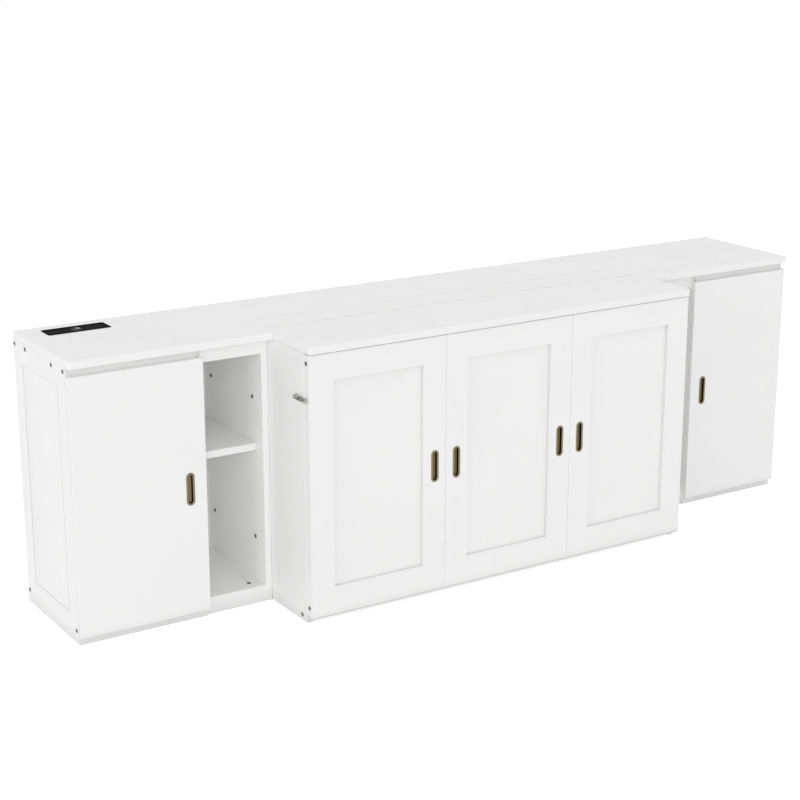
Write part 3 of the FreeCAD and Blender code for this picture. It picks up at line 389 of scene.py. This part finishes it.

# %% [markdown]
# ## Paint that knows its place
# The white isn't the same everywhere, because shade is painted into it. All four paints turn
# greyer over the lowest centimetres, as painted shade near the floor. The rail paint also turns
# greyer on the front parts of the cupboards' rails and end frames above and below the doors, as
# painted shade there. The frame paint turns greyer on the side faces of the steps round the
# front's recesses, and the cover paint on the edges of the end cover boards, as painted shade in
# those recesses and grooves. These tones don't end where a CAD node ends, so each paint looks at
# the place in the shared frame and blends from white to the greyer tone.

# %% Paints by place
WHITE = {"Colour": rgb(0.90, 0.90, 0.897), "Shade": rgb(0.885, 0.885, 0.882)}
SHADE_GREY = {"Colour": rgb(0.79, 0.79, 0.787), "Shade": rgb(0.77, 0.77, 0.767)}
SLACK, FLOOR_SHADE_TOP = 1.0 * MM, 50.0 * MM
DOOR_SHADE_LOW, DOOR_SHADE_HIGH, DOOR_SHADE_INNER = 100.0 * MM, 900.0 * MM, 1091.2 * MM
DOOR_SHADE_DEPTH = 468.7 * MM
STEP_NEAR, STEP_FAR, STEP_SIDE = 1.2 * MM, 16.5 * MM, 735.0 * MM
COVER_SINK, COVER_EDGE = 1.0, 0.9
step_low, step_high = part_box("front_inner_stiles")


def within(tree, value, low, high):
    above_low = maths(tree, "GREATER_THAN", value, low)
    return maths(tree, "MULTIPLY", above_low, maths(tree, "LESS_THAN", value, high))


def all_three(tree, first, second, third):
    return maths(tree, "MULTIPLY", maths(tree, "MULTIPLY", first, second), third)


# Painted shade: the paint turns greyer over the lowest 50 mm, as shade near the floor.
def painted_floor_shade(tree, across, along, above):
    return spread(tree, above, 0.0, FLOOR_SHADE_TOP, 1.0, 0.0)


# Painted shade: the front parts of the cupboards' rails above and below the doors turn greyer, as shade in
# the gaps there.
def painted_door_shade(tree, across, along, above):
    far = maths(tree, "GREATER_THAN", maths(tree, "ABSOLUTE", across), DOOR_SHADE_INNER)
    front = maths(tree, "LESS_THAN", along, WALL - DOOR_SHADE_DEPTH)
    middle = within(tree, above, DOOR_SHADE_LOW, DOOR_SHADE_HIGH)
    return all_three(tree, far, front, maths(tree, "SUBTRACT", 1.0, middle))


# Painted shade: the side faces of the steps round the front's recesses turn greyer, as shade in the
# recesses.
def painted_step_shade(tree, across, along, above):
    deep = within(tree, along, step_low.y + STEP_NEAR, step_low.y + STEP_FAR)
    wide = maths(tree, "LESS_THAN", maths(tree, "ABSOLUTE", across), STEP_SIDE + SLACK)
    high = within(tree, above, step_low.z - SLACK, step_high.z + SLACK)
    return all_three(tree, deep, wide, high)


# Painted shade: the cover boards turn greyer everywhere but their outer face, so their edges carry shade in
# the groove round them.
def painted_groove_shade(tree, across, along, above):
    inner = (END_OUT - COVER_SINK - COVER_EDGE) * MM
    return maths(tree, "LESS_THAN", maths(tree, "ABSOLUTE", across), inner)


def paint_by_place(material, shade_place=None):
    tree, place = material.node_tree, place_of(material)
    painted_shade = painted_floor_shade(tree, *place)
    if shade_place:
        painted_shade = maths(tree, "MAXIMUM", shade_place(tree, *place), painted_shade)
    two_tones(material, painted_shade, WHITE, SHADE_GREY)


# Painted shade in all four paints near the floor, and in the rail, frame and cover paints also at the
# doors, the recess steps and the cover boards' edges.
paint_by_place(white_paint)
paint_by_place(rail_paint, painted_door_shade)
paint_by_place(frame_paint, painted_step_shade)
paint_by_place(cover_paint, painted_groove_shade)
print("steps between", round(step_low.z, 4), "and", round(step_high.z, 4), "m")

# %% [markdown]
# ## Charging ports
# The little module in the power strip is dark, with a paler plate round one port. Module and
# plate are one CAD solid, so the material chooses by place: the part that lies to the right
# of the module's middle and behind it is pale.

# %% Port plate
PLATE_SHIFT = 2.0 * MM
DARK_PORT = {"Colour": rgb(0.014, 0.014, 0.015), "Worn": rgb(0.022, 0.022, 0.023)}
PALE_PORT = {"Colour": rgb(0.3, 0.3, 0.3), "Worn": rgb(0.36, 0.36, 0.36)}
port_low, port_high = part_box("power_ports")
port_middle = (port_low + port_high) / 2
plate_start = port_middle.x + PLATE_SHIFT
tree = port_plastic.node_tree
across, along, _ = place_of(port_plastic)
to_the_right = maths(tree, "GREATER_THAN", across, plate_start)
plate = maths(tree, "MULTIPLY", to_the_right, maths(tree, "GREATER_THAN", along, port_middle.y))
two_tones(port_plastic, plate, DARK_PORT, PALE_PORT)
print("port plate from x =", round(plate_start, 4))

# %% [markdown]
# ## Dressing the boards
# The CAD boards have the right shape, so they stay. Real boards have softened edges: two
# modifiers weld the CAD triangles and round every sharp edge a little. The hairlines where
# two boards meet then show by themselves.

# %% Dress the CAD nodes
DRESS = {
    white_paint: ["chest_sides", "chest_back", "wall_rail", "chest_rear_top", "lid_rail", "lid_rail_apron",
                  "floor_rail", "shelves", "lid", "front_infill_boards", "left_door", "right_door"]
    + [side + part for side in ("left_", "right_")
       for part in ("end_panel", "partition", "floor_board", "back", "top")],
    rail_paint: ["left_rails", "right_rails", "left_end_frame", "right_end_frame"],
    frame_paint: ["front_outer_stiles", "front_inner_stiles", "front_rails"],
    pine: ["head_bearers", "foot_bearers"],
    hinge_paint: ["lid_hinge_fixed_leaf", "lid_hinge_moving_leaf", "panel_hinge_fixed_arms",
                  "panel_hinge_moving_arms", "door_pivot_arms", "left_door_leaves", "right_door_leaves"],
    zinc: ["foot_hinge_panel_leaves", "foot_hinge_foot_leaves", "shelf_pins"],
    nickel: ["latch_bases", "latch_studs", "left_latch_hook", "right_latch_hook"],
    black_plastic: ["power_housing"],
    charcoal: ["power_face"],
    port_plastic: ["power_ports"],
    rubber: ["foot_pads"],
}
EDGE = {white_paint: 0.7 * MM, rail_paint: 0.7 * MM, frame_paint: 0.7 * MM, pine: 1.2 * MM,
        nickel: 0.5 * MM, zinc: 0.3 * MM, black_plastic: 0.3 * MM}
CRISP, CRISP_EDGE = ("chest_sides", "front_outer_stiles"), 0.3 * MM
UNROUNDED = ("chest_back", "wall_rail")
WELD_REACH, SHARP_ANGLE = 0.01 * MM, math.radians(40)


def dress(node, material):
    piece = nodes[node]
    piece.data.materials.clear()
    piece.data.materials.append(material)
    if material in EDGE and node not in UNROUNDED:
        weld = piece.modifiers.new("weld", "WELD")
        weld.merge_threshold = WELD_REACH
        edge = piece.modifiers.new("edge", "BEVEL")
        edge.width = CRISP_EDGE if node in CRISP else EDGE[material]
        edge.segments = 2
        edge.limit_method = "ANGLE"
        edge.angle_limit = SHARP_ANGLE
        edge.harden_normals = True


for material, names in DRESS.items():
    for name in names:
        dress(name, material)
print("dressed", sum(len(names) for names in DRESS.values()), "CAD nodes")

# %% [markdown]
# ## Growing pieces with Geometry Nodes
# Bolts, slats and strips repeat, so a tree of Geometry Nodes makes one and sets it on every
# point. The tree ends in Realize Instances and Set Material, and the result is turned into a
# plain mesh, because the export keeps no instances.

# %% Geometry Nodes helpers
SMOOTH_ANGLE = 35


def growing_tree(name, inputs):
    tree = bpy.data.node_groups.new(name, "GeometryNodeTree")
    tree.interface.new_socket("Points", in_out="INPUT", socket_type="NodeSocketGeometry")
    for label, kind in inputs.items():
        tree.interface.new_socket(label, in_out="INPUT", socket_type="NodeSocket" + kind)
    tree.interface.new_socket("Mesh", in_out="OUTPUT", socket_type="NodeSocketGeometry")
    return tree, tree.nodes.new("NodeGroupInput").outputs


def set_on(tree, points, instance, turn, scale=(1.0, 1.0, 1.0)):
    values = {"Points": points, "Instance": instance, "Rotation": turn, "Scale": scale}
    return add(tree, "GeometryNodeInstanceOnPoints", values).outputs[0]


def close_tree(tree, instances, material):
    plain = add(tree, "GeometryNodeRealizeInstances", {0: instances}).outputs[0]
    coated = add(tree, "GeometryNodeSetMaterial", {"Geometry": plain, "Material": material}).outputs[0]
    plug(tree, tree.nodes.new("NodeGroupOutput").inputs[0], coated)


def soften(piece, angle=SMOOTH_ANGLE):
    piece.data.shade_smooth()
    piece.data.set_sharp_from_angle(angle=math.radians(angle))


def grow(name, tree, sizes, points=((0, 0, 0),), **attributes):
    seed = bpy.data.meshes.new(name)
    seed.from_pydata([tuple(p) for p in points], [], [])
    for label, values in attributes.items():
        vector = hasattr(values[0], "__len__")
        layer = seed.attributes.new(label, "FLOAT_VECTOR" if vector else "FLOAT", "POINT")
        flat = [c for value in values for c in value] if vector else list(values)
        layer.data.foreach_set("vector" if vector else "value", flat)
    piece = bpy.data.objects.new(name, seed)
    scene.collection.objects.link(piece)
    growth = piece.modifiers.new("growth", "NODES")
    growth.node_group = tree
    for item in tree.interface.items_tree:
        if item.in_out == "INPUT" and item.name in sizes:
            growth[item.identifier] = sizes[item.name]
    bpy.context.view_layer.update()
    shaped = bpy.data.meshes.new_from_object(piece.evaluated_get(bpy.context.evaluated_depsgraph_get()))
    piece.modifiers.remove(growth)
    piece.data = shaped
    soften(piece)
    print("grew", name, len(shaped.polygons), "faces")
    return piece


print("growing helpers ready")

# %% [markdown]
# ## Bolts
# The carcass is held by button-head bolts with a hexagon key hole. One bolt is a cylinder
# whose top is pressed into a dome, with a six-sided hole cut from it and a shank behind it.
# The points say where each bolt sits, which way it looks and how far its shank reaches.

# %% Bolt tree
HEAD_SIDES, HEAD_RINGS, KEY_SIDES, SHANK_SIDES = 24, 4, 6, 12
DOME_POWER, DOME_FALL, KEY_LIFT = 2.6, -0.55, 0.9
bolt_tree, given = growing_tree("button_head_bolt", {
    "Head Radius": "Float", "Head Height": "Float", "Key Radius": "Float", "Shank Radius": "Float",
    "Material": "Material"})
height = given["Head Height"]
half_height = maths(bolt_tree, "MULTIPLY", height, 0.5)


def cylinder(tree, sides, radius, depth, rings=1):
    values = {"Vertices": sides, "Fill Segments": rings, "Radius": radius, "Depth": depth}
    return add(tree, "GeometryNodeMeshCylinder", values).outputs["Mesh"]


def lifted(tree, mesh, rise):
    values = {"Geometry": mesh, "Translation": triple(tree, z=rise)}
    return add(tree, "GeometryNodeTransform", values).outputs[0]


def stored(tree, label, kind):
    return add(tree, "GeometryNodeInputNamedAttribute", {"Name": label}, data_type=kind).outputs[0]


disc = cylinder(bolt_tree, HEAD_SIDES, given["Head Radius"], height, HEAD_RINGS)
raised = lifted(bolt_tree, disc, half_height)
spot = add(bolt_tree, "GeometryNodeInputPosition").outputs[0]
x, y, z = add(bolt_tree, "ShaderNodeSeparateXYZ", {0: spot}).outputs
off_axis = add(bolt_tree, "ShaderNodeVectorMath", {0: triple(bolt_tree, x, y)}, operation="LENGTH")
ratio = maths(bolt_tree, "DIVIDE", off_axis.outputs["Value"], given["Head Radius"])
fall = maths(bolt_tree, "MULTIPLY", maths(bolt_tree, "POWER", ratio, DOME_POWER),
             maths(bolt_tree, "MULTIPLY", height, DOME_FALL))
is_top = maths(bolt_tree, "GREATER_THAN", z, half_height)
drop = triple(bolt_tree, z=maths(bolt_tree, "MULTIPLY", fall, is_top))
domed = add(bolt_tree, "GeometryNodeSetPosition", {"Geometry": raised, "Offset": drop}).outputs[0]
hexagon = cylinder(bolt_tree, KEY_SIDES, given["Key Radius"], height)
key = lifted(bolt_tree, hexagon, maths(bolt_tree, "MULTIPLY", height, KEY_LIFT))
head = add(bolt_tree, "GeometryNodeMeshBoolean", {0: domed, 1: key}, operation="DIFFERENCE").outputs[0]
shank = lifted(bolt_tree, cylinder(bolt_tree, SHANK_SIDES, given["Shank Radius"], 1.0), -0.5)
outward = stored(bolt_tree, "outward", "FLOAT_VECTOR")
turn = add(bolt_tree, "FunctionNodeAlignRotationToVector", {"Vector": outward}, axis="Z").outputs[0]
length = triple(bolt_tree, 1.0, 1.0, stored(bolt_tree, "reach", "FLOAT"))
both = add(bolt_tree, "GeometryNodeJoinGeometry")
plug(bolt_tree, both.inputs[0], set_on(bolt_tree, given["Points"], head, turn))
plug(bolt_tree, both.inputs[0], set_on(bolt_tree, given["Points"], shank, turn, length))
close_tree(bolt_tree, both.outputs[0], given["Material"])
print("tree:", bolt_tree.name)

# %% [markdown]
# A fixing is a place, the way the bolt's head looks and the reach of its shank. Only those on
# the right half are written down, because the left half mirrors them.

# %% Set the bolts
BOLT = {"Head Radius": 7.5 * MM, "Head Height": 3.0 * MM, "Key Radius": 3.0 * MM, "Shank Radius": 3.0 * MM,
        "Material": blackened}
PARTITION_BOLT = {**BOLT, "Head Radius": 5.5 * MM, "Material": nickel}
OUT, UP, FORWARD = (1.0, 0.0, 0.0), (0.0, 0.0, 1.0), (0.0, -1.0, 0.0)
END_SPOTS, END_REACH = ((13, 957), (112, 957), (348, 957), (449, 957), (15, 47), (449, 47)), 55.0
NICHE_DEPTHS, NICHE_LEVELS, NICHE_REACH = (63, 387), (748, 225), 44.0
CHEST_DEPTH, CHEST_LEVEL, CHEST_REACH = 681, 21, 60.0
BASE_PLACES, BASE_DEPTH, BASE_LEVEL, BASE_REACH = (901, 1504), 415, 62, 43.0
PARTITION_SPOT, PARTITION_REACH = (1103.5, 469.5, 952.5), 53.5
EDGE_DEPTH, EDGE_LEVELS, EDGE_REACH = 731, (941, 61), 135.0


def mirrored(fixings):
    return fixings + [((-x, d, z), (-way[0], way[1], way[2]), reach) for (x, d, z), way, reach in fixings]


def set_bolts(name, fixings, body, sizes=BOLT):
    spots, ways, reaches = zip(*fixings)
    piece = grow(name, bolt_tree, sizes, [at(*spot) for spot in spots],
                 outward=ways, reach=[reach * MM for reach in reaches])
    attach(piece, body)
    return piece


carcass = [((END_OUT, d, z), OUT, END_REACH) for d, z in END_SPOTS]
carcass += [((NICHE_WALL, d, z), OUT, NICHE_REACH) for d in NICHE_DEPTHS for z in NICHE_LEVELS]
carcass += [((CHEST_OUT, CHEST_DEPTH, CHEST_LEVEL), OUT, CHEST_REACH)]
carcass += [((x, BASE_DEPTH, BASE_LEVEL), UP, BASE_REACH) for x in BASE_PLACES]
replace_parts(set_bolts("carcass_button_bolts", mirrored(carcass), "cabinet"), "carcass_bolts")
heads = [(PARTITION_SPOT, FORWARD, PARTITION_REACH)]
set_bolts("head_button_bolts", mirrored(heads), "cabinet", PARTITION_BOLT)
edges = [((PANEL_X, EDGE_DEPTH, z), OUT, EDGE_REACH) for z in EDGE_LEVELS]
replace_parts(set_bolts("panel_button_bolts", mirrored(edges), "front_panel"), "front_edge_bolts")

# %% [markdown]
# The hook of each latch has a round hole with a dark plastic plug in it, which keeps the hook
# from rattling. The bolt tree makes these too, with smaller sizes.

# %% Plug the latch hooks
PLUG = {"Head Radius": 3.9 * MM, "Head Height": 1.2 * MM, "Key Radius": 1.2 * MM, "Shank Radius": 2.5 * MM,
        "Material": black_plastic}
HOOK_HOLE, PLUG_REACH = (836.2, 684.0, 812.0), 2.5
plugs = mirrored([(HOOK_HOLE, OUT, PLUG_REACH)])
set_bolts("right_latch_plug", plugs[:1], "right_latch", PLUG)
set_bolts("left_latch_plug", plugs[1:], "left_latch", PLUG)

# %% [markdown]
# ## Slats
# The bed lies on three rows of pine slats: fixed at the head, on the back of the front panel,
# and on the foot section. A slat is a rounded rectangle drawn along a line. One tree makes a
# row from its first place to its last, and stores a board number on each slat.

# %% Slat tree
ROUND_POINTS = 3
slat_tree, given = growing_tree("slat_row", {
    "Count": "Int", "Length": "Float", "Width": "Float", "Thickness": "Float", "Round": "Float",
    "First": "Vector", "Last": "Vector", "Turn": "Vector", "Seed": "Int", "Material": "Material"})
section = add(slat_tree, "GeometryNodeCurvePrimitiveQuadrilateral", {
    "Width": given["Width"], "Height": given["Thickness"]}).outputs[0]
fillet = add(slat_tree, "GeometryNodeFilletCurve", {
    "Curve": section, "Count": ROUND_POINTS, "Radius": given["Round"]}, mode="POLY").outputs[0]
half = maths(slat_tree, "MULTIPLY", given["Length"], 0.5)
line = add(slat_tree, "GeometryNodeCurvePrimitiveLine", {
    "Start": triple(slat_tree, z=maths(slat_tree, "MULTIPLY", half, -1.0)),
    "End": triple(slat_tree, z=half)}).outputs[0]
bar = add(slat_tree, "GeometryNodeCurveToMesh", {
    "Curve": line, "Profile Curve": fillet, "Fill Caps": True}).outputs[0]
row = add(slat_tree, "GeometryNodeMeshLine", {
    "Count": given["Count"], "Start Location": given["First"], "Offset": given["Last"]},
    mode="END_POINTS").outputs[0]
laid = set_on(slat_tree, row, bar, given["Turn"])
number = add(slat_tree, "FunctionNodeRandomValue", {"Seed": given["Seed"]}, data_type="FLOAT").outputs[1]
tagged = add(slat_tree, "GeometryNodeStoreNamedAttribute", {
    "Geometry": laid, "Name": "board_number", "Value": number},
    data_type="FLOAT", domain="INSTANCE").outputs[0]
close_tree(slat_tree, tagged, given["Material"])
print("tree:", slat_tree.name)

# %% [markdown]
# The box of each CAD node gives the row's ends, so the grown slats lie where the solid ones
# are: flat at the head, and upright on the closed panel and the foot section.

# %% Lay the slats
SLAT_WIDTH, SLAT_ROUND = 70.0 * MM, 4.0 * MM
QUARTER = math.pi / 2
ALONG_WALL, UPRIGHT, STANDING = (QUARTER, 0.0, QUARTER), (0.0, QUARTER, 0.0), (0.0, 0.0, 0.0)


def lay_row(name, count, size, ends, turn, rounding, material, body="cabinet", seed=1):
    piece = grow(name, slat_tree, {
        "Count": count, "Length": size[0], "Width": size[1], "Thickness": size[2], "Round": rounding,
        "First": ends[0], "Last": ends[-1], "Turn": turn, "Seed": seed, "Material": material})
    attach(piece, body)
    return piece


def lay_slats(name, node, count, upright, body, seed):
    low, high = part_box(node)
    first = (low + high) / 2
    last = first.copy()
    run, thin = (2, 1) if upright else (1, 2)
    first[run], last[run] = low[run] + SLAT_WIDTH / 2, high[run] - SLAT_WIDTH / 2
    size = (high.x - low.x, SLAT_WIDTH, (high - low)[thin])
    turn = UPRIGHT if upright else ALONG_WALL
    piece = lay_row(name, count, size, (first, last), turn, SLAT_ROUND, pine, body, seed)
    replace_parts(piece, node)


lay_slats("head_slat_row", "head_slats", 7, False, "cabinet", 3)
lay_slats("panel_slat_row", "front_slats", 9, True, "front_panel", 5)
lay_slats("foot_slat_row", "foot_slats", 4, True, "foot_section", 8)

# %% [markdown]
# ## Round-edged boards
# The same tree lays any board whose long edges are round. The cupboards' inner sides have a
# rounder edge than the other boards, so they are laid again.

# %% Inner sides
BOARD_ROUND = 3.0 * MM
for side in ("left", "right"):
    low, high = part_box(side + "_inner_side")
    span = high - low
    board = lay_row(side + "_inner_board", 1, (span.z, span.x, span.y), [(low + high) / 2], STANDING,
                    BOARD_ROUND, white_paint)
    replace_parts(board, side + "_inner_side")

# %% [markdown]
# A thin white foam strip lines the joint between the chest and its front panel on each side.
# A grey bead lies in the long joint in the top; its grey is painted shade in that joint.

# %% Foam strips and seam shade bead
STRIP_ROUND = 0.3 * MM
SEAL, SEAL_X, SEAL_DEPTH, SEAL_Z = (925.0, 23.2, 0.8), 817.6, 714.45, 492.5
BEAD, BEAD_DEPTH, BEAD_Z = (1656.0, 1.8, 3.0), 304.0, 998.25


def scaled(sizes):
    return [size * MM for size in sizes]


def both_sides(x, depth, z):
    return [at(-x, depth, z), at(x, depth, z)]


lay_row("panel_seals", 2, scaled(SEAL), both_sides(SEAL_X, SEAL_DEPTH, SEAL_Z), STANDING, STRIP_ROUND,
        white_foam)
# Painted shade: the grey bead stands in for the shade in the long top joint.
lay_row("rear_seam_shade_bead", 1, scaled(BEAD), [at(0.0, BEAD_DEPTH, BEAD_Z)], ALONG_WALL, STRIP_ROUND,
        seam_shade_filler)

# %% [markdown]
# A cover board lies on each end's infill, almost flush with the frame, and leaves a groove
# round it; its edges are painted greyer, as painted shade in that groove. A grey strip hangs
# from the panel's lower edge; its grey is painted shade under that edge.

# %% Cover boards and shade strip
COVER_THICK, COVER_ROUND, COVER_DEPTHS = 7.0, 0.7 * MM, (82.0, 385.0)
COVER_LOW, COVER_DROP = 97.5, 79.5
SHADE_STRIP, SHADE_STRIP_DEPTH, SHADE_STRIP_Z = (1656.0, 1.4, 8.0), 745.9, 23.5
cover_x = END_OUT - COVER_SINK - COVER_THICK / 2
cover_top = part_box("left_end_frame")[1].z / MM - COVER_DROP
cover = scaled((cover_top - COVER_LOW, COVER_THICK, COVER_DEPTHS[1] - COVER_DEPTHS[0]))
cover_spots = both_sides(cover_x, sum(COVER_DEPTHS) / 2, (COVER_LOW + cover_top) / 2)
lay_row("end_cover_boards", 2, cover, cover_spots, STANDING, COVER_ROUND, cover_paint)
# Painted shade: the strip's grey stands in for the shade under the panel's lower edge.
lay_row("panel_shade_strip", 1, scaled(SHADE_STRIP), [at(0.0, SHADE_STRIP_DEPTH, SHADE_STRIP_Z)], ALONG_WALL,
        STRIP_ROUND, grey_strip, "front_panel")

# %% [markdown]
# ## Flush pulls
# Each pull is pressed from one sheet: a flat rim with soft edges, a steep wall and a dished
# floor, in a shape with two straight sides and round ends. It is lofted through rings of
# that outline, each a little further in and deeper, and the back is closed the same way.

# %% Pull maker
PULL_HALF, PULL_RADIUS, ROUND_STEPS = 43.5, 16.0, 14
FRONT_RINGS = [(0.3, 0.0), (0.0, 0.25), (0.25, 0.75), (0.9, 1.0), (5.4, 1.0), (6.4, 0.85), (7.0, 0.2),
               (7.2, -1.2), (7.6, -8.4), (8.3, -10.2), (9.6, -10.9), (12.0, -11.0)]
BACK_RINGS = [(5.8, 0.0), (5.8, -11.6), (6.4, -12.2)]
CUP_DEPTH, SAME_SPOT, PULL_ANGLE = 11.0, 0.001 * MM, 50


def pull_ring(mesh, x, z, face, inset, forward):
    radius = PULL_RADIUS - inset
    ring = []
    for end, start in ((1, 0.0), (-1, math.pi)):
        for step in range(ROUND_STEPS + 1):
            angle = start + math.pi * step / ROUND_STEPS
            ring.append(mesh.verts.new(at(x + radius * math.cos(angle), face + forward,
                                          z + end * PULL_HALF + radius * math.sin(angle))))
    return ring


def make_pulls(name, places, face, node, body):
    mesh = bmesh.new()
    depth = mesh.verts.layers.float.new("cup_depth")
    for x, z in places:
        for rings in (FRONT_RINGS, FRONT_RINGS[:1] + BACK_RINGS):
            loops = [pull_ring(mesh, x, z, face, *ring) for ring in rings]
            for loop, (inset, forward) in zip(loops, rings):
                for vert in loop:
                    vert[depth] = min(1.0, max(0.0, -forward / CUP_DEPTH))
            for near, far in zip(loops, loops[1:]):
                for i in range(len(near)):
                    mesh.faces.new((near[i - 1], near[i], far[i], far[i - 1]))
            mesh.faces.new(loops[-1])
    bmesh.ops.remove_doubles(mesh, verts=mesh.verts, dist=SAME_SPOT)
    bmesh.ops.recalc_face_normals(mesh, faces=mesh.faces)
    data = bpy.data.meshes.new(name)
    mesh.to_mesh(data)
    mesh.free()
    data.materials.append(brass)
    piece = bpy.data.objects.new(name, data)
    scene.collection.objects.link(piece)
    soften(piece, PULL_ANGLE)
    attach(piece, body)
    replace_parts(piece, node)
    print("pressed", name, len(data.polygons), "faces")


print("pull maker ready")

# %% [markdown]
# Two pulls stand beside each seam of the front panel, and one at the inner edge of each door.

# %% Press the pulls
BAY_EDGE, PULL_OFFSET, PANEL_PULL_Z = PANEL_X / 3, 46.0, 496.0
DOOR_PULL_X, DOOR_PULL_Z = 1153.0, 488.0
panel_places = [(side * BAY_EDGE + shift, PANEL_PULL_Z)
                for side in (-1, 1) for shift in (-PULL_OFFSET, PULL_OFFSET)]
make_pulls("panel_flush_pulls", panel_places, PANEL_FRONT, "front_pulls", "front_panel")
make_pulls("left_flush_pull", [(-DOOR_PULL_X, DOOR_PULL_Z)], DOOR_FRONT, "left_door_pull",
           "left_door_assembly")
make_pulls("right_flush_pull", [(DOOR_PULL_X, DOOR_PULL_Z)], DOOR_FRONT, "right_door_pull",
           "right_door_assembly")

# %% [markdown]
# ## Floor and world
# A plain pale floor keeps the soft shadow. The world lights evenly and shows white to the
# camera and to shiny metal.

# %% Floor and world
FLOOR_HALF, FLOOR_SINK, FLOOR_TONE, FLOOR_LIFT = 30.0, 0.5 * MM, rgb(0.8, 0.8, 0.8), 0.68
WORLD_LEVEL, PURE_WHITE = 0.82, rgb(1, 1, 1)
floor_mesh = bpy.data.meshes.new("studio_floor")
corners = [(-FLOOR_HALF, -FLOOR_HALF, 0), (FLOOR_HALF, -FLOOR_HALF, 0), (FLOOR_HALF, FLOOR_HALF, 0),
           (-FLOOR_HALF, FLOOR_HALF, 0)]
floor_mesh.from_pydata(corners, [], [(0, 1, 2, 3)])
floor = bpy.data.objects.new("studio_floor", floor_mesh)
scene.collection.objects.link(floor)
floor.location.z = -FLOOR_SINK
floor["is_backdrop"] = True


def seen_directly(tree):
    rays = add(tree, "ShaderNodeLightPath").outputs
    seen = maths(tree, "MAXIMUM", rays["Is Camera Ray"], rays["Is Glossy Ray"])
    return maths(tree, "MAXIMUM", seen, rays["Is Transmission Ray"])


pale = bpy.data.materials.new("pale_floor")
pale.use_nodes = True
tree = pale.node_tree
tree.nodes.clear()
matt = add(tree, "ShaderNodeBsdfDiffuse", {"Color": FLOOR_TONE}).outputs[0]
lift_level = maths(tree, "MULTIPLY", seen_directly(tree), FLOOR_LIFT)
lift = add(tree, "ShaderNodeEmission", {"Color": PURE_WHITE, "Strength": lift_level}).outputs[0]
both = add(tree, "ShaderNodeAddShader", {0: matt, 1: lift}).outputs[0]
add(tree, "ShaderNodeOutputMaterial", {"Surface": both})
floor_mesh.materials.append(pale)

world = bpy.data.worlds.new("studio")
scene.world = world
world.use_nodes = True
tree = world.node_tree
tree.nodes.clear()
level = spread(tree, seen_directly(tree), 0.0, 1.0, WORLD_LEVEL, 1.0)
sky = add(tree, "ShaderNodeBackground", {"Color": PURE_WHITE, "Strength": level}).outputs[0]
add(tree, "ShaderNodeOutputWorld", {"Surface": sky})
print("floor and world ready")

# %% [markdown]
# ## Soft boxes
# Two large soft boxes stand on the camera's side and look at the cabinet's middle. White boards
# pass much light on to each other, so the light may bounce often.

# %% Soft boxes
MIDDLE = Vector((0.0, 0.0, 0.5))
BOX_RISE, BOX_DISTANCE, BOX_SIZE, BOUNCES = math.radians(14.0), 26.0, 12.0, 12


def soft_box(name, azimuth, watts):
    lamp = bpy.data.lights.new(name, "AREA")
    lamp.shape = "SQUARE"
    lamp.size = BOX_SIZE
    lamp.energy = watts
    turn = math.radians(azimuth)
    level = math.cos(BOX_RISE)
    away = Vector((level * math.sin(turn), -level * math.cos(turn), math.sin(BOX_RISE)))
    stand = bpy.data.objects.new(name, lamp)
    stand.location = MIDDLE + away * BOX_DISTANCE
    stand.rotation_euler = away.to_track_quat("Z", "Y").to_euler()
    scene.collection.objects.link(stand)


soft_box("front_box", azimuth=-28.0, watts=1300.0)
soft_box("left_box", azimuth=-72.0, watts=520.0)
scene.cycles.diffuse_bounces = BOUNCES
print("soft boxes:", len(bpy.data.lights))

# %% [markdown]
# ## Camera
# The camera is where the photograph was taken from: front left, a little above the cabinet.
# Its place, angles and focal length come from a fit to the photograph's edges.

# %% Camera
PHOTO_FOCAL, PHOTO_PIXELS, SENSOR = 1778.6, 800.0, 36.0
CAMERA_PLACE, CAMERA_DOWN, CAMERA_TURN = (-3.6214, -5.3599, 2.4875), 16.287, -32.282
camera = bpy.data.objects.new("camera", bpy.data.cameras.new("camera"))
camera.data.sensor_width = SENSOR
camera.data.lens = PHOTO_FOCAL * SENSOR / PHOTO_PIXELS
camera.location = CAMERA_PLACE
camera.rotation_euler = (math.radians(90 - CAMERA_DOWN), 0.0, math.radians(CAMERA_TURN))
scene.collection.objects.link(camera)
scene.camera = camera
scene.view_settings.view_transform = "Standard"
print("lens", round(camera.data.lens, 2), "mm")

# %% [markdown]
# ## Sizes and finish
# The box of the dressed scene is kept beside the box of the CAD model, so that the two can be
# compared.

# %% Sizes and finish
low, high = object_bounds()
print("visual box", [round(v, 4) for v in (*low, *high)])
